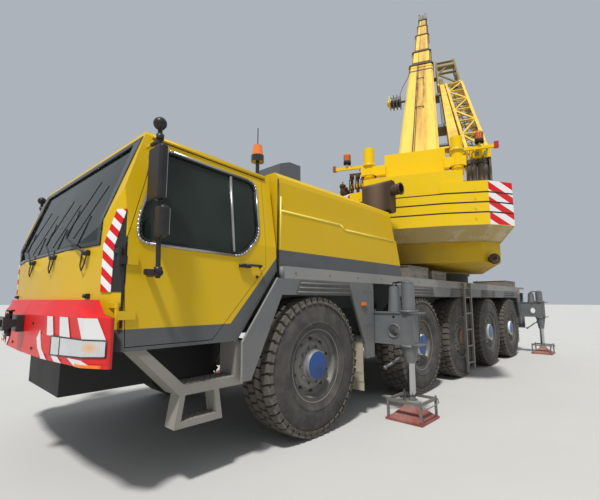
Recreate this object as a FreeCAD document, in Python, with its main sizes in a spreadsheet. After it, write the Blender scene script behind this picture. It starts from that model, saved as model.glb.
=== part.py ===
import FreeCAD, Part
import math
import os
import re
from types import SimpleNamespace

import Sketcher
from FreeCAD import Placement, Rotation, Vector

# A five-axle mobile crane on its outriggers, with the boom raised over the rear.
# Origin on the ground under the slewing axis, +X to the road cab, +Y to its left, +Z up.
# Lengths in millimetres, angles in degrees.

document = FreeCAD.newDocument("MobileCrane")
sheet = document.addObject("Spreadsheet::Sheet", "Sizes")

# Driving sizes: name, value.
SIZES = [
    # wheels and axles
    ("tyreRadius", 715), ("tyreWide", 420), ("wheelMidY", 1290), ("rimRadius", 356),
    ("rimWall", 36), ("hubRadius", 140), ("hubOut", 200), ("discThick", 30), ("discOut", 95),
    ("spindleRadius", 60), ("spindleFit", 0.05), ("kingpinY", 1090), ("kingpinRadius", 65),
    ("bossHalf", 165), ("drumRadius", 230), ("axleTube", 75), ("diffRadius", 190),
    ("strutRadius", 55), ("strutY", 600), ("seatGap", 0.3),
    ("axleOneX", 5960), ("axleTwoX", 3490), ("axleThreeX", 1840), ("axleFourX", 190),
    ("axleFiveX", -1460),
    # carrier frame and deck
    ("frameHalf", 480), ("frameBottom", 1000), ("frameTop", 1680), ("frameRear", -3000),
    ("noseBottom", 600), ("noseTop", 1040), ("noseFront", 8050), ("deckTop", 1720),
    ("deckHalf", 1490), ("deckFront", 6460), ("railHigh", 120), ("railThick", 45),
    ("skirtThick", 28), ("skirtLip", 1440), ("skirtFoot", 690),
    # outriggers
    ("frontBeamX", 4725), ("rearBeamX", -2660), ("laneSpacing", 200), ("beamWide", 170),
    ("flangeWide", 194), ("beamHigh", 390), ("flangeThick", 15), ("frontBeamBottom", 850),
    ("rearBeamBottom", 940), ("laneGap", 5), ("boxWall", 18), ("boxHalf", 1240),
    ("jackY", 1900), ("beamTipY", 1990), ("flangeReach", 85), ("beamTailY", -660),
    ("pinHoleY", 1736), ("pinHole", 72), ("jackCase", 100), ("valveInset", 187),
    ("valveRadius", 84), ("valveGap", 6), ("beamTravelIn", 540), ("ladderOut", 25), ("ladderGap", 15),
    ("jackRod", 49), ("jackFit", 1), ("jackCaseBottom", 640), ("jackCaseTop", 1590),
    ("padHalf", 230), ("padThick", 25), ("padApex", 160), ("padRingTop", 240),
    # road cab
    ("cabHalf", 1440), ("cabFloor", 1040), ("cabWall", 40), ("cabRoof", 2690),
    ("cabRear", 6520), ("cabNose", 8150), ("doorGap", 6), ("glassThick", 6),
    ("glassInset", 14), ("coverHalf", 1455), ("coverRear", 4010), ("coverFront", 6490),
    ("coverTop", 2690), ("coverWall", 30), ("creaseStep", 22),
    ("bumperBottom", 945), ("bumperTop", 1390), ("bumperThick", 90), ("bumperLean", 48),
    # slewing part
    ("boomBearing", 22.5), ("ringRadius", 960), ("ringTop", 1950), ("bodyHalf", 1290),
    ("bodyRear", -3250), ("bodyFront", 40), ("bodyTop", 2330), ("spineFront", 900),
    ("plateInner", 470), ("plateThick", 40), ("pivotX", -1600), ("pivotZ", 3450),
    ("pivotPin", 70), ("pinFit", 0.06), ("footX", 300), ("footZ", 2300), ("liftSlot", 200),
    ("slabRear", 3700), ("slabHalf", 1470), ("slabFront", 2450), ("slabGroove", 8),
    ("beltOne", 2540), ("beltTwo", 2742), ("beltThree", 2902), ("beltFour", 3060),
    ("beltTop", 3240), ("tailBeamTop", 3440),
    # boom
    ("boomRaise", 43.48), ("boomWall", 12), ("collarLong", 150),
    ("collarProud", 40), ("padFit", 0.4), ("boomAxisV", 317), ("headHalf", 300), ("liftEyeS", 5200),
    ("liftEyeV", -280), ("liftEyeWide", 300), ("barrelRadius", 170), ("liftRodRadius", 120),
    ("rodFit", 0.5), ("barrelLong", 3200),
]

for row, (alias, value) in enumerate(SIZES, 1):
    sheet.set("A%d" % row, alias)
    sheet.set("B%d" % row, str(value))
    sheet.setAlias("B%d" % row, alias)
document.recompute()
size = SimpleNamespace(**{alias: float(sheet.get(alias)) for alias, _ in SIZES})

WORD = re.compile(r"\b(%s)\b" % "|".join(alias for alias, _ in SIZES))
nodes = []


def rule(text):
    """An expression over the sheet's names."""
    return WORD.sub(r"Sizes.\1", str(text))


def number(text):
    """The present value of such an expression."""
    return float(sheet.evalExpression(rule(text)))


def bind(item, **rules):
    for name, text in rules.items():
        item.setExpression(name.replace("_", "."), rule(text))
    return item


def place(item, x=0, y=0, z=0, turn=None):
    if turn is not None:
        item.Placement.Rotation = turn
    for axis, text in (("x", x), ("y", y), ("z", z)):
        item.setExpression(".Placement.Base." + axis, rule(text))
    return item


def block(name, x, y, z):
    """A box between two faces along each axis."""
    box = document.addObject("Part::Box", name)
    bind(box, Length="(%s) - (%s)" % (x[1], x[0]), Width="(%s) - (%s)" % (y[1], y[0]),
         Height="(%s) - (%s)" % (z[1], z[0]))
    return place(box, x[0], y[0], z[0])


ALONG = {"x": Rotation(Vector(0, 1, 0), 90), "y": Rotation(Vector(1, 0, 0), -90), "z": Rotation()}


def bar(name, radius, long, x, y, z, axis="z"):
    """A round bar from a point along one axis."""
    rod = document.addObject("Part::Cylinder", name)
    bind(rod, Radius=radius, Height=long)
    return place(rod, x, y, z, ALONG[axis])


def fuse(name, parts, refine=True):
    joined = document.addObject("Part::MultiFuse", name)
    joined.Shapes = parts
    joined.Refine = refine
    return joined


def cut(name, base, tool):
    taken = document.addObject("Part::Cut", name)
    taken.Base = base
    taken.Tool = tool
    taken.Refine = True
    return taken


def group(name, parts):
    bundle = document.addObject("Part::Compound", name)
    bundle.Links = parts
    return bundle


def mirrored(name, source):
    twin = document.addObject("Part::Mirroring", name)
    twin.Source = source
    twin.Normal = Vector(0, 1, 0)
    return twin


def node(item, label):
    item.Label = label
    nodes.append(item)
    return item


def formed(name, shape):
    """A sub-part whose form is worked out in code from the sheet's sizes."""
    feature = document.addObject("Part::Feature", name)
    feature.Shape = shape
    return feature


def outlineSketch(body, plane, corners, name):
    """A closed outline whose corners are all bound to the sheet."""
    sketch = body.newObject("Sketcher::SketchObject", name)
    support = next(f for f in body.Origin.OriginFeatures if f.Role == plane + "_Plane")
    sketch.AttachmentSupport = [(support, "")]
    sketch.MapMode = "FlatFace"
    points = [Vector(number(u), number(v), 0) for u, v in corners]
    sketch.addGeometry([Part.LineSegment(a, b) for a, b in zip(points, points[1:] + points[:1])])
    count = len(points)
    for index in range(count):
        sketch.addConstraint(Sketcher.Constraint("Coincident", index, 2, (index + 1) % count, 1))
    for index, (corner, point) in enumerate(zip(corners, points)):
        for kind, text, value in (("DistanceX", corner[0], point.x), ("DistanceY", corner[1], point.y)):
            held = sketch.addConstraint(Sketcher.Constraint(kind, -1, 1, index, 1, value))
            sketch.setExpression("Constraints[%d]" % held, rule(text))
    return sketch


def plate(name, plane, corners, low, high):
    """An outline padded between two levels along the axis that its plane leaves out."""
    body = document.addObject("PartDesign::Body", name)
    sketch = outlineSketch(body, plane, corners, name + "Outline")
    start = "-(%s)" % high if plane == "XZ" else low
    sketch.setExpression(".AttachmentOffset.Base.z", rule(start))
    pad = body.newObject("PartDesign::Pad", name + "Pad")
    pad.Profile = sketch
    bind(pad, Length="(%s) - (%s)" % (high, low))
    body.Tip = pad
    return body


def turned(name, corners, axis="V_Axis", plane="YZ"):
    """An outline turned about one axis of its sketch."""
    body = document.addObject("PartDesign::Body", name)
    sketch = outlineSketch(body, plane, corners, name + "Outline")
    revolution = body.newObject("PartDesign::Revolution", name + "Turn")
    revolution.Profile = sketch
    revolution.ReferenceAxis = (sketch, [axis])
    revolution.Angle = 360
    body.Tip = revolution
    return body


def prism(plane, points, low, high):
    """A straight prism worked out in code."""
    spread = {"XY": lambda u, v, w: Vector(u, v, w), "XZ": lambda u, v, w: Vector(u, w, v),
              "YZ": lambda u, v, w: Vector(w, u, v)}[plane]
    wire = Part.makePolygon([spread(u, v, low) for u, v in points + points[:1]])
    return Part.Face(wire).extrude(spread(0, 0, high) - spread(0, 0, low))


def boxed(x, y, z):
    return Part.makeBox(x[1] - x[0], y[1] - y[0], z[1] - z[0], Vector(x[0], y[0], z[0]))


def strut(start, end, side):
    """A square tube between two points, as a solid bar."""
    run = Vector(*end) - Vector(*start)
    solid = Part.makeBox(side, side, run.Length, Vector(-side / 2, -side / 2, 0))
    solid.Placement = Placement(Vector(*start), Rotation(Vector(0, 0, 1), run))
    return solid


def wireAt(points, level):
    return Part.makePolygon([Vector(u, v, level) for u, v in points + points[:1]])


def drawnIn(points, level, inset):
    face = Part.Face(wireAt(points, level))
    return face.makeOffset2D(-inset) if inset else face


# Wheels

def wheelForm(name):
    """Tyre, rim and disc in one turned outline, with the hub's bore open to the inside."""
    half = "tyreWide / 2"
    outline = [
        ("-(%s) + 45" % half, "rimRadius - rimWall"), ("-(%s) + 45" % half, "rimRadius + 10"),
        ("-(%s) + 8" % half, "rimRadius + 70"), ("-(%s)" % half, "(tyreRadius + rimRadius) / 2"),
        ("-(%s) + 14" % half, "tyreRadius - 60"), ("-(%s) + 40" % half, "tyreRadius - 16"),
        ("-(%s) + 110" % half, "tyreRadius"), ("%s - 110" % half, "tyreRadius"),
        ("%s - 40" % half, "tyreRadius - 16"), ("%s - 14" % half, "tyreRadius - 60"),
        (half, "(tyreRadius + rimRadius) / 2"), ("%s - 8" % half, "rimRadius + 70"),
        ("%s - 45" % half, "rimRadius + 10"), ("%s - 45" % half, "rimRadius - rimWall"),
        ("discOut + 60", "rimRadius - rimWall"), ("discOut", "hubRadius + 95"),
        ("discOut", "hubRadius"), ("hubOut", "hubRadius"), ("hubOut", "0"),
        ("discOut + 40", "0"), ("discOut + 40", "spindleRadius + spindleFit"),
        ("discOut - discThick", "spindleRadius + spindleFit"),
        ("discOut - discThick", "hubRadius + 95"), ("discOut + 20", "rimRadius - rimWall"),
    ]
    return turned(name, outline, axis="H_Axis", plane="YZ")


wheel = wheelForm("WheelForm")
AXLES = [("axleOneX", True), ("axleTwoX", True), ("axleThreeX", False), ("axleFourX", True),
         ("axleFiveX", True)]
HALF_TURN = Rotation(Vector(0, 0, 1), 180)
SIDES = [("left", "", Rotation()), ("right", "-", HALF_TURN)]

for count, (axleX, steered) in enumerate(AXLES, 1):
    for side, sign, turn in SIDES:
        rolling = group("Wheel%d%s" % (count, side.title()), [wheel])
        place(rolling, axleX, sign + "wheelMidY", "tyreRadius", turn)
        node(rolling, "wheel_%d_%s" % (count, side))


def knuckleForm():
    """Kingpin boss, brake drum and spindle of one steered wheel."""
    boss = bar("KnuckleBoss", "kingpinRadius", "2 * bossHalf - 2 * seatGap", 0, "kingpinY",
               "tyreRadius - bossHalf + seatGap")
    neck = bar("KnuckleNeck", "90", "100", 0, "kingpinY", "tyreRadius", "y")
    drum = bar("KnuckleDrum", "drumRadius", "wheelMidY - kingpinY - 75", 0, "kingpinY + 75",
               "tyreRadius", "y")
    spindle = bar("KnuckleSpindle", "spindleRadius", "discOut + 30", 0, "wheelMidY", "tyreRadius", "y")
    arm = block("KnuckleArm", ("-190", "-40"), ("kingpinY - 30", "kingpinY + 30"),
                ("tyreRadius - 120", "tyreRadius - 80"))
    return fuse("KnuckleForm", [boss, neck, drum, spindle, arm])


knuckle = knuckleForm()
for count, (axleX, steered) in enumerate(AXLES, 1):
    if steered:
        for side, sign, turn in SIDES:
            carrier = group("Knuckle%d%s" % (count, side.title()), [knuckle])
            place(carrier, axleX, 0, 0, turn)
            node(carrier, "steering_knuckle_%d_%s" % (count, side))


def axleForm(name, steered):
    """One axle beam with its final drive, struts and either yokes or fixed hubs."""
    reach = "kingpinY - 130" if steered else "wheelMidY - 30"
    parts = [bar(name + "Tube", "axleTube", "2 * (%s)" % reach, 0, "-(%s)" % reach, "tyreRadius", "y"),
             bar(name + "Drive", "diffRadius", "300", 0, "-150", "tyreRadius", "y"),
             bar(name + "Nose", "110", "330", "-330", 0, "tyreRadius", "x")]
    for mark, low in (("L", "strutY"), ("R", "-strutY")):
        parts.append(bar(name + "Strut" + mark, "strutRadius", "frameBottom + 330 - tyreRadius", 0, low,
                         "tyreRadius"))
        near, far = ("frameHalf", "strutY + strutRadius") if mark == "L" else (
            "-strutY - strutRadius", "-frameHalf")
        parts.append(block(name + "Bracket" + mark, ("-70", "70"), (near, far),
                           ("frameBottom + 200", "frameBottom + 330")))
        if steered:
            yoke = [("kingpinY - 150", "tyreRadius - 75"), ("kingpinY - 75", "tyreRadius - bossHalf - 50"),
                    ("kingpinY + 40", "tyreRadius - bossHalf - 50"), ("kingpinY + 40", "tyreRadius - bossHalf"),
                    ("kingpinY - 70", "tyreRadius - bossHalf"), ("kingpinY - 100", "tyreRadius - 90"),
                    ("kingpinY - 100", "tyreRadius + 90"), ("kingpinY - 70", "tyreRadius + bossHalf"),
                    ("kingpinY + 40", "tyreRadius + bossHalf"), ("kingpinY + 40", "tyreRadius + bossHalf + 50"),
                    ("kingpinY - 75", "tyreRadius + bossHalf + 50"), ("kingpinY - 150", "tyreRadius + 75")]
            fork = plate(name + "Yoke" + mark, "YZ", yoke, "-45", "45")
            parts.append(fork if mark == "L" else mirrored(name + "YokeTurned", fork))
        else:
            start = "kingpinY + 75" if mark == "L" else "-wheelMidY"
            parts.append(bar(name + "Drum" + mark, "drumRadius", "wheelMidY - kingpinY - 75", 0, start,
                             "tyreRadius", "y"))
            start = "wheelMidY" if mark == "L" else "-wheelMidY - discOut - 30"
            parts.append(bar(name + "Spindle" + mark, "spindleRadius", "discOut + 30", 0, start,
                             "tyreRadius", "y"))
    return fuse(name, parts)


steeredAxle = axleForm("SteeredAxle", True)
fixedAxle = axleForm("FixedAxle", False)
axleSet = []
for count, (axleX, steered) in enumerate(AXLES, 1):
    beam = group("AxleBeam%d" % count, [steeredAxle if steered else fixedAxle])
    axleSet.append(place(beam, axleX, 0, 0))
node(group("Axles", axleSet), "axles")


# Carrier frame, deck and side panels

def outriggerBox(name, beamX, bottom):
    """The welded box that the two beams of one end slide in, side by side."""
    near = "%s - laneSpacing - flangeWide / 2 - laneGap" % beamX
    far = "%s + flangeWide / 2 + laneGap" % beamX
    low, high = "%s - laneGap" % bottom, "%s + beamHigh + laneGap" % bottom
    outer = block(name + "Outer", ("%s - boxWall" % near, "%s + boxWall" % far), ("-boxHalf", "boxHalf"),
                  ("%s - boxWall" % low, "%s + boxWall" % high))
    inner = block(name + "Inner", (near, far), ("-boxHalf - 10", "boxHalf + 10"), (low, high))
    box = cut(name + "Shell", outer, inner)
    pads = []
    for mark, y in (("L", ("boxHalf - 120", "boxHalf")), ("R", ("-boxHalf", "120 - boxHalf"))):
        pads.append(block(name + "PadLow" + mark, (near, far), y, ("%s - 1" % low, "%s - seatGap" % bottom)))
        pads.append(block(name + "PadHigh" + mark, (near, far), y,
                          ("%s + beamHigh + seatGap" % bottom, "%s + 1" % high)))
    reach = "jackY - valveInset - valveRadius - valveGap - beamTravelIn"
    notches = []
    for mark, lane, y in (("L", beamX, (reach, "boxHalf + 10")),
                          ("R", beamX + " - laneSpacing", ("-boxHalf - 10", "-(%s)" % reach))):
        sideways = ("%s - valveRadius - valveGap" % lane, "%s + valveRadius + valveGap" % lane)
        notches.append(block(name + "Notch" + mark, sideways, y,
                             ("%s + beamHigh - 1" % bottom, "%s + boxWall + 1" % high)))
    return cut(name, fuse(name + "Body", [box] + pads), fuse(name + "Notches", notches))


def frameForm():
    """The box girder, stepped down under the cab, with the outrigger boxes welded through it."""
    frontRear = "frontBeamX - laneSpacing - flangeWide / 2 - laneGap - boxWall"
    frontFore = "frontBeamX + flangeWide / 2 + laneGap + boxWall"
    frontTop = "frontBeamBottom + beamHigh + laneGap + boxWall"
    rearFore = "rearBeamX + flangeWide / 2 + laneGap + boxWall"
    rearTop = "rearBeamBottom + beamHigh + laneGap + boxWall"
    girder = plate("Girder", "XZ", [
        ("frameRear", "frameTop"), ("frameRear", rearTop), (rearFore, rearTop), (rearFore, "frameBottom"),
        (frontRear, "frameBottom"), (frontRear, frontTop), (frontFore, frontTop), (frontFore, "frameBottom"),
        ("6350", "frameBottom"), ("6600", "noseBottom"), ("noseFront", "noseBottom"),
        ("noseFront", "noseTop"), ("6750", "noseTop"), ("6500", "1350"), ("6500", "frameTop")],
        "-frameHalf", "frameHalf")
    crossmember = block("TailCrossmember", ("frameRear - 30", "frameRear"), ("-1450", "1450"),
                        ("620", "1580"))
    return fuse("ChassisFrame", [girder, outriggerBox("FrontBox", "frontBeamX", "frontBeamBottom"),
                                 outriggerBox("RearBox", "rearBeamX", "rearBeamBottom"), crossmember])


node(frameForm(), "chassis_frame")


def deckForm():
    """Deck plate with its edge rails and lockers, open round the slewing ring."""
    top = block("DeckPlate", ("frameRear", "deckFront"), ("-deckHalf", "deckHalf"), ("frameTop", "deckTop"))
    rails = []
    for name, near, far in (("RailLeft", "deckHalf - railThick", "deckHalf"),
                            ("RailRight", "-deckHalf", "railThick - deckHalf")):
        rails.append(block(name, ("frameRear + 500", "deckFront"), (near, far), ("deckTop - railHigh", "deckTop")))
    lockers = []
    for index, (x0, x1, y0, y1, high) in enumerate([
            (2950, 3650, 900, 1380, 190), (2250, 2850, 1050, 1400, 150), (3050, 3700, -1380, -800, 190),
            (-2900, -1900, 500, 1300, 160), (-2900, -1900, -1300, -500, 160), (1300, 2100, -1400, -1050, 170)]):
        lockers.append(block("Locker%d" % index, (x0, x1), (y0, y1), ("deckTop - 1", "deckTop + %d" % high)))
    ring = bar("RingHole", "ringRadius + 30", "200", 0, 0, "frameTop - 100")
    return cut("Deck", fuse("DeckBody", [top] + rails + lockers), ring)


node(deckForm(), "deck")
node(cut("SlewBearing", bar("BearingOuter", "ringRadius", "ringTop - frameTop", 0, 0, "frameTop"),
         bar("BearingInner", "ringRadius - 140", "ringTop - frameTop + 2", 0, 0, "frameTop - 1")),
     "slew_bearing")


def sidePanels():
    """Skirts over the wheels with the arch panels, left and right."""
    under = "deckTop - railHigh"
    front = plate("SkirtFront", "XZ", [
        ("6960", "700"), ("6960", "1030"), ("6545", under), ("4860", under), ("4860", "skirtFoot"),
        ("5050", "skirtFoot"), ("5070", "860"), ("5330", "skirtLip"), ("6490", "skirtLip"),
        ("6860", "700")], "deckHalf - skirtThick", "deckHalf")
    rear = plate("SkirtRear", "XZ", [
        ("frameRear + 500", under), ("frameRear + 500", "760"), ("frameRear + 560", "760"),
        ("frameRear + 790", "skirtLip"), ("4250", "skirtLip"), ("4250", under)],
        "deckHalf - skirtThick", "deckHalf")
    return group("SidePanels", [front, rear, mirrored("SkirtFrontRight", front),
                                mirrored("SkirtRearRight", rear)])


node(sidePanels(), "side_panels")


def accessSteps():
    """The step frames under both doors and the ladder to the deck."""
    frame = plate("StepFrame", "XZ", [
        ("7880", "cabFloor"), ("7500", "670"), ("6900", "670"), ("6900", "cabFloor"), ("6985", "cabFloor"),
        ("6985", "745"), ("7465", "745"), ("7785", "cabFloor")], "1200", "1430")
    hanger = plate("StepHanger", "XZ", [
        ("7500", "671"), ("7540", "435"), ("7110", "435"), ("7150", "671"), ("7195", "671"),
        ("7165", "485"), ("7485", "485"), ("7455", "671")], "1290", "1430")
    left = fuse("StepLeft", [frame, hanger])
    inner = "max(deckHalf + ladderOut; wheelMidY + tyreWide / 2 + ladderGap)"
    stiles = [block("Stile%d" % index, (x, "%d + 40" % x), (inner, inner + " + 35"), ("90", "1700"))
              for index, x in enumerate((1420, 1760))]
    rungs = [bar("Rung%d" % index, "14", "340", 1440, inner + " + 17", 240 + 300 * index, "x")
             for index in range(5)]
    hooks = [block("Hook%d" % index, (x, "%d + 40" % x), ("deckHalf", inner + " + 35"), ("1640", "1700"))
             for index, x in enumerate((1420, 1760))]
    ladder = fuse("DeckLadder", stiles + rungs + hooks)
    return group("AccessSteps", [left, mirrored("StepRight", left), ladder])


node(accessSteps(), "access_steps")


# Outriggers

def coned(name, lowRadius, highRadius, low, high, y):
    """An upright cone between two levels."""
    cone = document.addObject("Part::Cone", name)
    bind(cone, Radius1=lowRadius, Radius2=highRadius, Height="(%s) - (%s)" % (high, low))
    return place(cone, 0, y, low)


def beamForm(name, bottom):
    """One outrigger beam with its flanges, jack casing, valve tower and pin holes, as it stands on the left."""
    top = "%s + beamHigh" % bottom
    web = block(name + "Web", ("-beamWide / 2", "beamWide / 2"), ("beamTailY", "beamTipY"), (bottom, top))
    lower = block(name + "Lower", ("-flangeWide / 2", "flangeWide / 2"), ("beamTailY", "beamTipY + flangeReach"),
                  (bottom, "%s + flangeThick" % bottom))
    upper = block(name + "Upper", ("-flangeWide / 2", "flangeWide / 2"), ("beamTailY", "beamTipY + flangeReach"),
                  ("%s - flangeThick" % top, top))
    throat = coned(name + "Throat", "jackRod + 14", "jackCase", "jackCaseBottom", "%s - 40" % bottom, "jackY")
    case = bar(name + "Case", "jackCase", "41", 0, "jackY", "%s - 40" % bottom)
    tower = bar(name + "Tower", "jackCase - 20", "jackCaseTop - (%s)" % top, 0, "jackY", top)
    valve = coned(name + "Valve", "valveRadius", "valveRadius - 22", top, "jackCaseTop - 30",
                  "jackY - valveInset")
    holes = [bar(name + mark, radius, "beamWide + 40", "-beamWide / 2 - 20", "pinHoleY", level, "x")
             for mark, radius, level in (("PinHole", "pinHole", "%s + beamHigh * 0.42" % bottom),
                                         ("LockHole", "pinHole / 4", "%s - flangeThick - 45" % top))]
    holes.append(bar(name + "Bore", "jackRod + jackFit", "1450 - jackCaseBottom", 0, "jackY", "jackCaseBottom - 1"))
    body = fuse(name + "Body", [web, lower, upper, throat, case, tower, valve])
    return cut(name, body, fuse(name + "Holes", holes))


def jackForm():
    """Jack rod with its socket, the pyramid pad and the ring that the pad is carried by."""
    rod = bar("JackRodBar", "jackRod", "1150 - padApex", 0, 0, "padApex")
    foot = block("PadFoot", ("-padHalf", "padHalf"), ("-padHalf", "padHalf"), (0, "padThick"))
    pyramid = document.addObject("Part::Wedge", "PadPyramid")
    bind(pyramid, Xmin="-padHalf + 25", Xmax="padHalf - 25", Zmin="-padHalf + 25", Zmax="padHalf - 25",
         X2min="-60", X2max="60", Z2min="-60", Z2max="60", Ymin="0", Ymax="padApex - padThick")
    pyramid.Placement.Rotation = Rotation(Vector(1, 0, 0), 90)
    place(pyramid, 0, 0, "padThick")
    outer = block("RingOuter", ("15 - padHalf", "padHalf - 15"), ("15 - padHalf", "padHalf - 15"),
                  ("padRingTop - 30", "padRingTop"))
    inner = block("RingInner", ("40 - padHalf", "padHalf - 40"), ("40 - padHalf", "padHalf - 40"),
                  ("padRingTop - 40", "padRingTop + 10"))
    posts = []
    for index, (u, v) in enumerate(((-1, -1), (-1, 1), (1, -1), (1, 1))):
        low = "%d * (padHalf - 27.5) - 12.5"
        posts.append(block("RingPost%d" % index, (low % u, (low + " + 25") % u), (low % v, (low + " + 25") % v),
                           ("padThick - 5", "padRingTop - 10")))
    return fuse("JackForm", [rod, foot, pyramid, cut("Ring", outer, inner)] + posts)


jack = jackForm()
for end, beamX, bottom in (("front", "frontBeamX", "frontBeamBottom"), ("rear", "rearBeamX", "rearBeamBottom")):
    beam = beamForm(end.title() + "Beam", bottom)
    for side, sign, turn in SIDES:
        lane = beamX if side == "left" else beamX + " - laneSpacing"
        slider = place(group("Beam%s%s" % (end.title(), side.title()), [beam]), lane, 0, 0, turn)
        node(slider, "outrigger_beam_%s_%s" % (end, side))
        pad = place(group("Jack%s%s" % (end.title(), side.title()), [jack]), lane, sign + "jackY", 0)
        node(pad, "outrigger_jack_%s_%s" % (end, side))


# Road cab

CAB_SIDE = [(size.cabRear, 1670), (6985, size.cabFloor), (size.cabNose, size.cabFloor), (size.cabNose, 1640),
            (8125, 1770), (7825, size.cabRoof), (size.cabRear + 40, size.cabRoof - 70)]
CAB_FRONT = [(-size.cabHalf, 900), (size.cabHalf, 900), (size.cabHalf, 1900), (size.cabHalf - 95, 2660),
             (size.cabHalf - 180, 2800), (180 - size.cabHalf, 2800), (95 - size.cabHalf, 2660),
             (-size.cabHalf, 1900)]
CAB_PLAN = [(6000, -size.cabHalf), (7960, -size.cabHalf), (8060, -size.cabHalf + 150),
            (size.cabNose - 20, -600), (size.cabNose, 0), (size.cabNose - 20, 600),
            (8060, size.cabHalf - 150), (7960, size.cabHalf), (6000, size.cabHalf)]
DOOR = [(7940, 1065), (7235, 1065), (6660, 1690), (6660, 2585), (7735, 2640), (7985, 1765)]
DOOR_HINGES = [1240, 1620]
HINGE_X, HINGE_Y, HINGE_PIN = 8000, 1430, 15
DOOR_WINDOW = [(7890, 1800), (6940, 1775), (6740, 1985), (6740, 2520), (7690, 2580), (7895, 1960)]
WINDSCREEN = [(-1190, 1815), (1190, 1815), (1190, 2610), (-1190, 2610)]


def cabForm(inset):
    """The cab as the common volume of its side, front and plan outlines."""
    forms = []
    for plane, points, low, high in (("XZ", CAB_SIDE, -2000, 2000), ("YZ", CAB_FRONT, 5000, 9000),
                                     ("XY", CAB_PLAN, 500, 3000)):
        axis = {"XZ": Vector(0, 1, 0), "YZ": Vector(1, 0, 0), "XY": Vector(0, 0, 1)}[plane]
        face = Part.Face(Part.makePolygon([
            {"XZ": Vector(u, low, v), "YZ": Vector(low, u, v), "XY": Vector(u, v, low)}[plane]
            for u, v in points + points[:1]]))
        if inset:
            face = face.makeOffset2D(-inset)
        forms.append(face.extrude(axis * (high - low)))
    return forms[0].common(forms[1]).common(forms[2])


def sideLayer(outer, inner):
    return cabForm(outer).cut(cabForm(inner))


def shrunk(points, plane, low, high, inset):
    axis = {"XZ": Vector(0, 1, 0), "YZ": Vector(1, 0, 0)}[plane]
    face = Part.Face(Part.makePolygon([
        {"XZ": Vector(u, low, v), "YZ": Vector(low, u, v)}[plane] for u, v in points + points[:1]]))
    if inset:
        face = face.makeOffset2D(-inset)
    return face.extrude(axis * (high - low))


shell = sideLayer(0, size.cabWall)
pane = sideLayer(size.glassInset, size.glassInset + size.glassThick)


def doorOpening(sign, inset):
    """The space of one door, which laps over the sill of the cab's floor."""
    space = shrunk(DOOR, "XZ", *sorted((sign * 1200, sign * 1600)), inset)
    sill = boxed((6000, 8500), sorted((sign * 1100, sign * (size.cabHalf - size.cabWall + inset))),
                 (1000, size.cabFloor + size.cabWall + inset))
    return space.cut(sill)


doorHoles = [doorOpening(sign, 0) for sign in (1, -1)]
screenHole = shrunk(WINDSCREEN, "YZ", 7600, 8400, 0)


def cabHinge(level, sign):
    """The cab's knuckle of one door hinge, above the door's own."""
    outline = [(HINGE_X - 8, sign * (HINGE_Y + 10)), (HINGE_X + 12, sign * (HINGE_Y + 5)),
               (HINGE_X + 25, sign * (HINGE_Y - 95)), (HINGE_X + 5, sign * (HINGE_Y - 65))]
    tab = prism("XY", outline, level + 95, level + 130)
    return tab.fuse(Part.makeCylinder(HINGE_PIN, 38, Vector(HINGE_X, sign * HINGE_Y, level + 92)))


shell = shell.cut(doorHoles[0]).cut(doorHoles[1]).cut(screenHole)
shell = shell.fuse([cabHinge(level, sign) for level in DOOR_HINGES for sign in (1, -1)])
node(formed("CabShell", shell.removeSplitter()), "cab_shell")
node(formed("CabGlass", pane.common(shrunk(WINDSCREEN, "YZ", 7600, 8400, size.seatGap))), "cab_windscreen")


def rounded(box, radius):
    return box.makeFillet(radius, box.Edges)


def mirrorArm(sign):
    """The upright of the mirrors with its heads, carried by the door."""
    y = sign * (size.cabHalf + 150)
    inner = sign * (size.cabHalf - 60)
    reach = abs(y - inner) + 20
    lean = Vector(0.035, 0, 1)
    rod = Part.makeCylinder(17, 1090, Vector(7800, y, 1540), lean)
    foot = Part.makeCylinder(28, reach, Vector(7800, inner, 1580), Vector(0, sign, 0))
    head = Part.makeCylinder(15, reach, Vector(7830, inner, 2540), Vector(0, sign, 0))
    ball = Part.makeSphere(48, Vector(7840, y, 2660))
    low = min(y - 130 * sign, y + 70 * sign)
    large = rounded(boxed((7795, 7860), (low, low + 200), (2090, 2500)), 25)
    small = rounded(boxed((7775, 7850), (low - 30, low + 230), (1820, 2050)), 30)
    return rod.fuse([foot, head, ball, large, small])


def doorForm(sign):
    window = shrunk(DOOR_WINDOW, "XZ", *sorted((sign * 1200, sign * 1600)), 0)
    panel = sideLayer(0, size.cabWall).common(doorOpening(sign, size.doorGap))
    handle = boxed((6860, 6990), sorted((sign * (size.cabHalf - 20), sign * (size.cabHalf + 30))), (1675, 1700))
    hinges = []
    for level in DOOR_HINGES:
        hinges.append(Part.makeCylinder(HINGE_PIN, 90, Vector(HINGE_X, sign * HINGE_Y, level)))
        for near, far, low in ((120, -4, 13), (120, 72, 5)):
            hinges.append(boxed((HINGE_X - near, HINGE_X - far), sorted((sign * (HINGE_Y + low),
                                sign * (HINGE_Y + 25))), (level + 15, level + 75)))
    return panel.fuse([mirrorArm(sign), handle] + hinges).cut(window).removeSplitter()


def doorGlass(sign):
    window = shrunk(DOOR_WINDOW, "XZ", *sorted((sign * 1200, sign * 1600)), size.seatGap)
    return pane.common(window)


for side, sign in (("left", 1), ("right", -1)):
    node(formed("Door" + side.title(), doorForm(sign)), "cab_door_" + side)
    node(formed("DoorGlass" + side.title(), doorGlass(sign)), "cab_door_glass_" + side)


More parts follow.
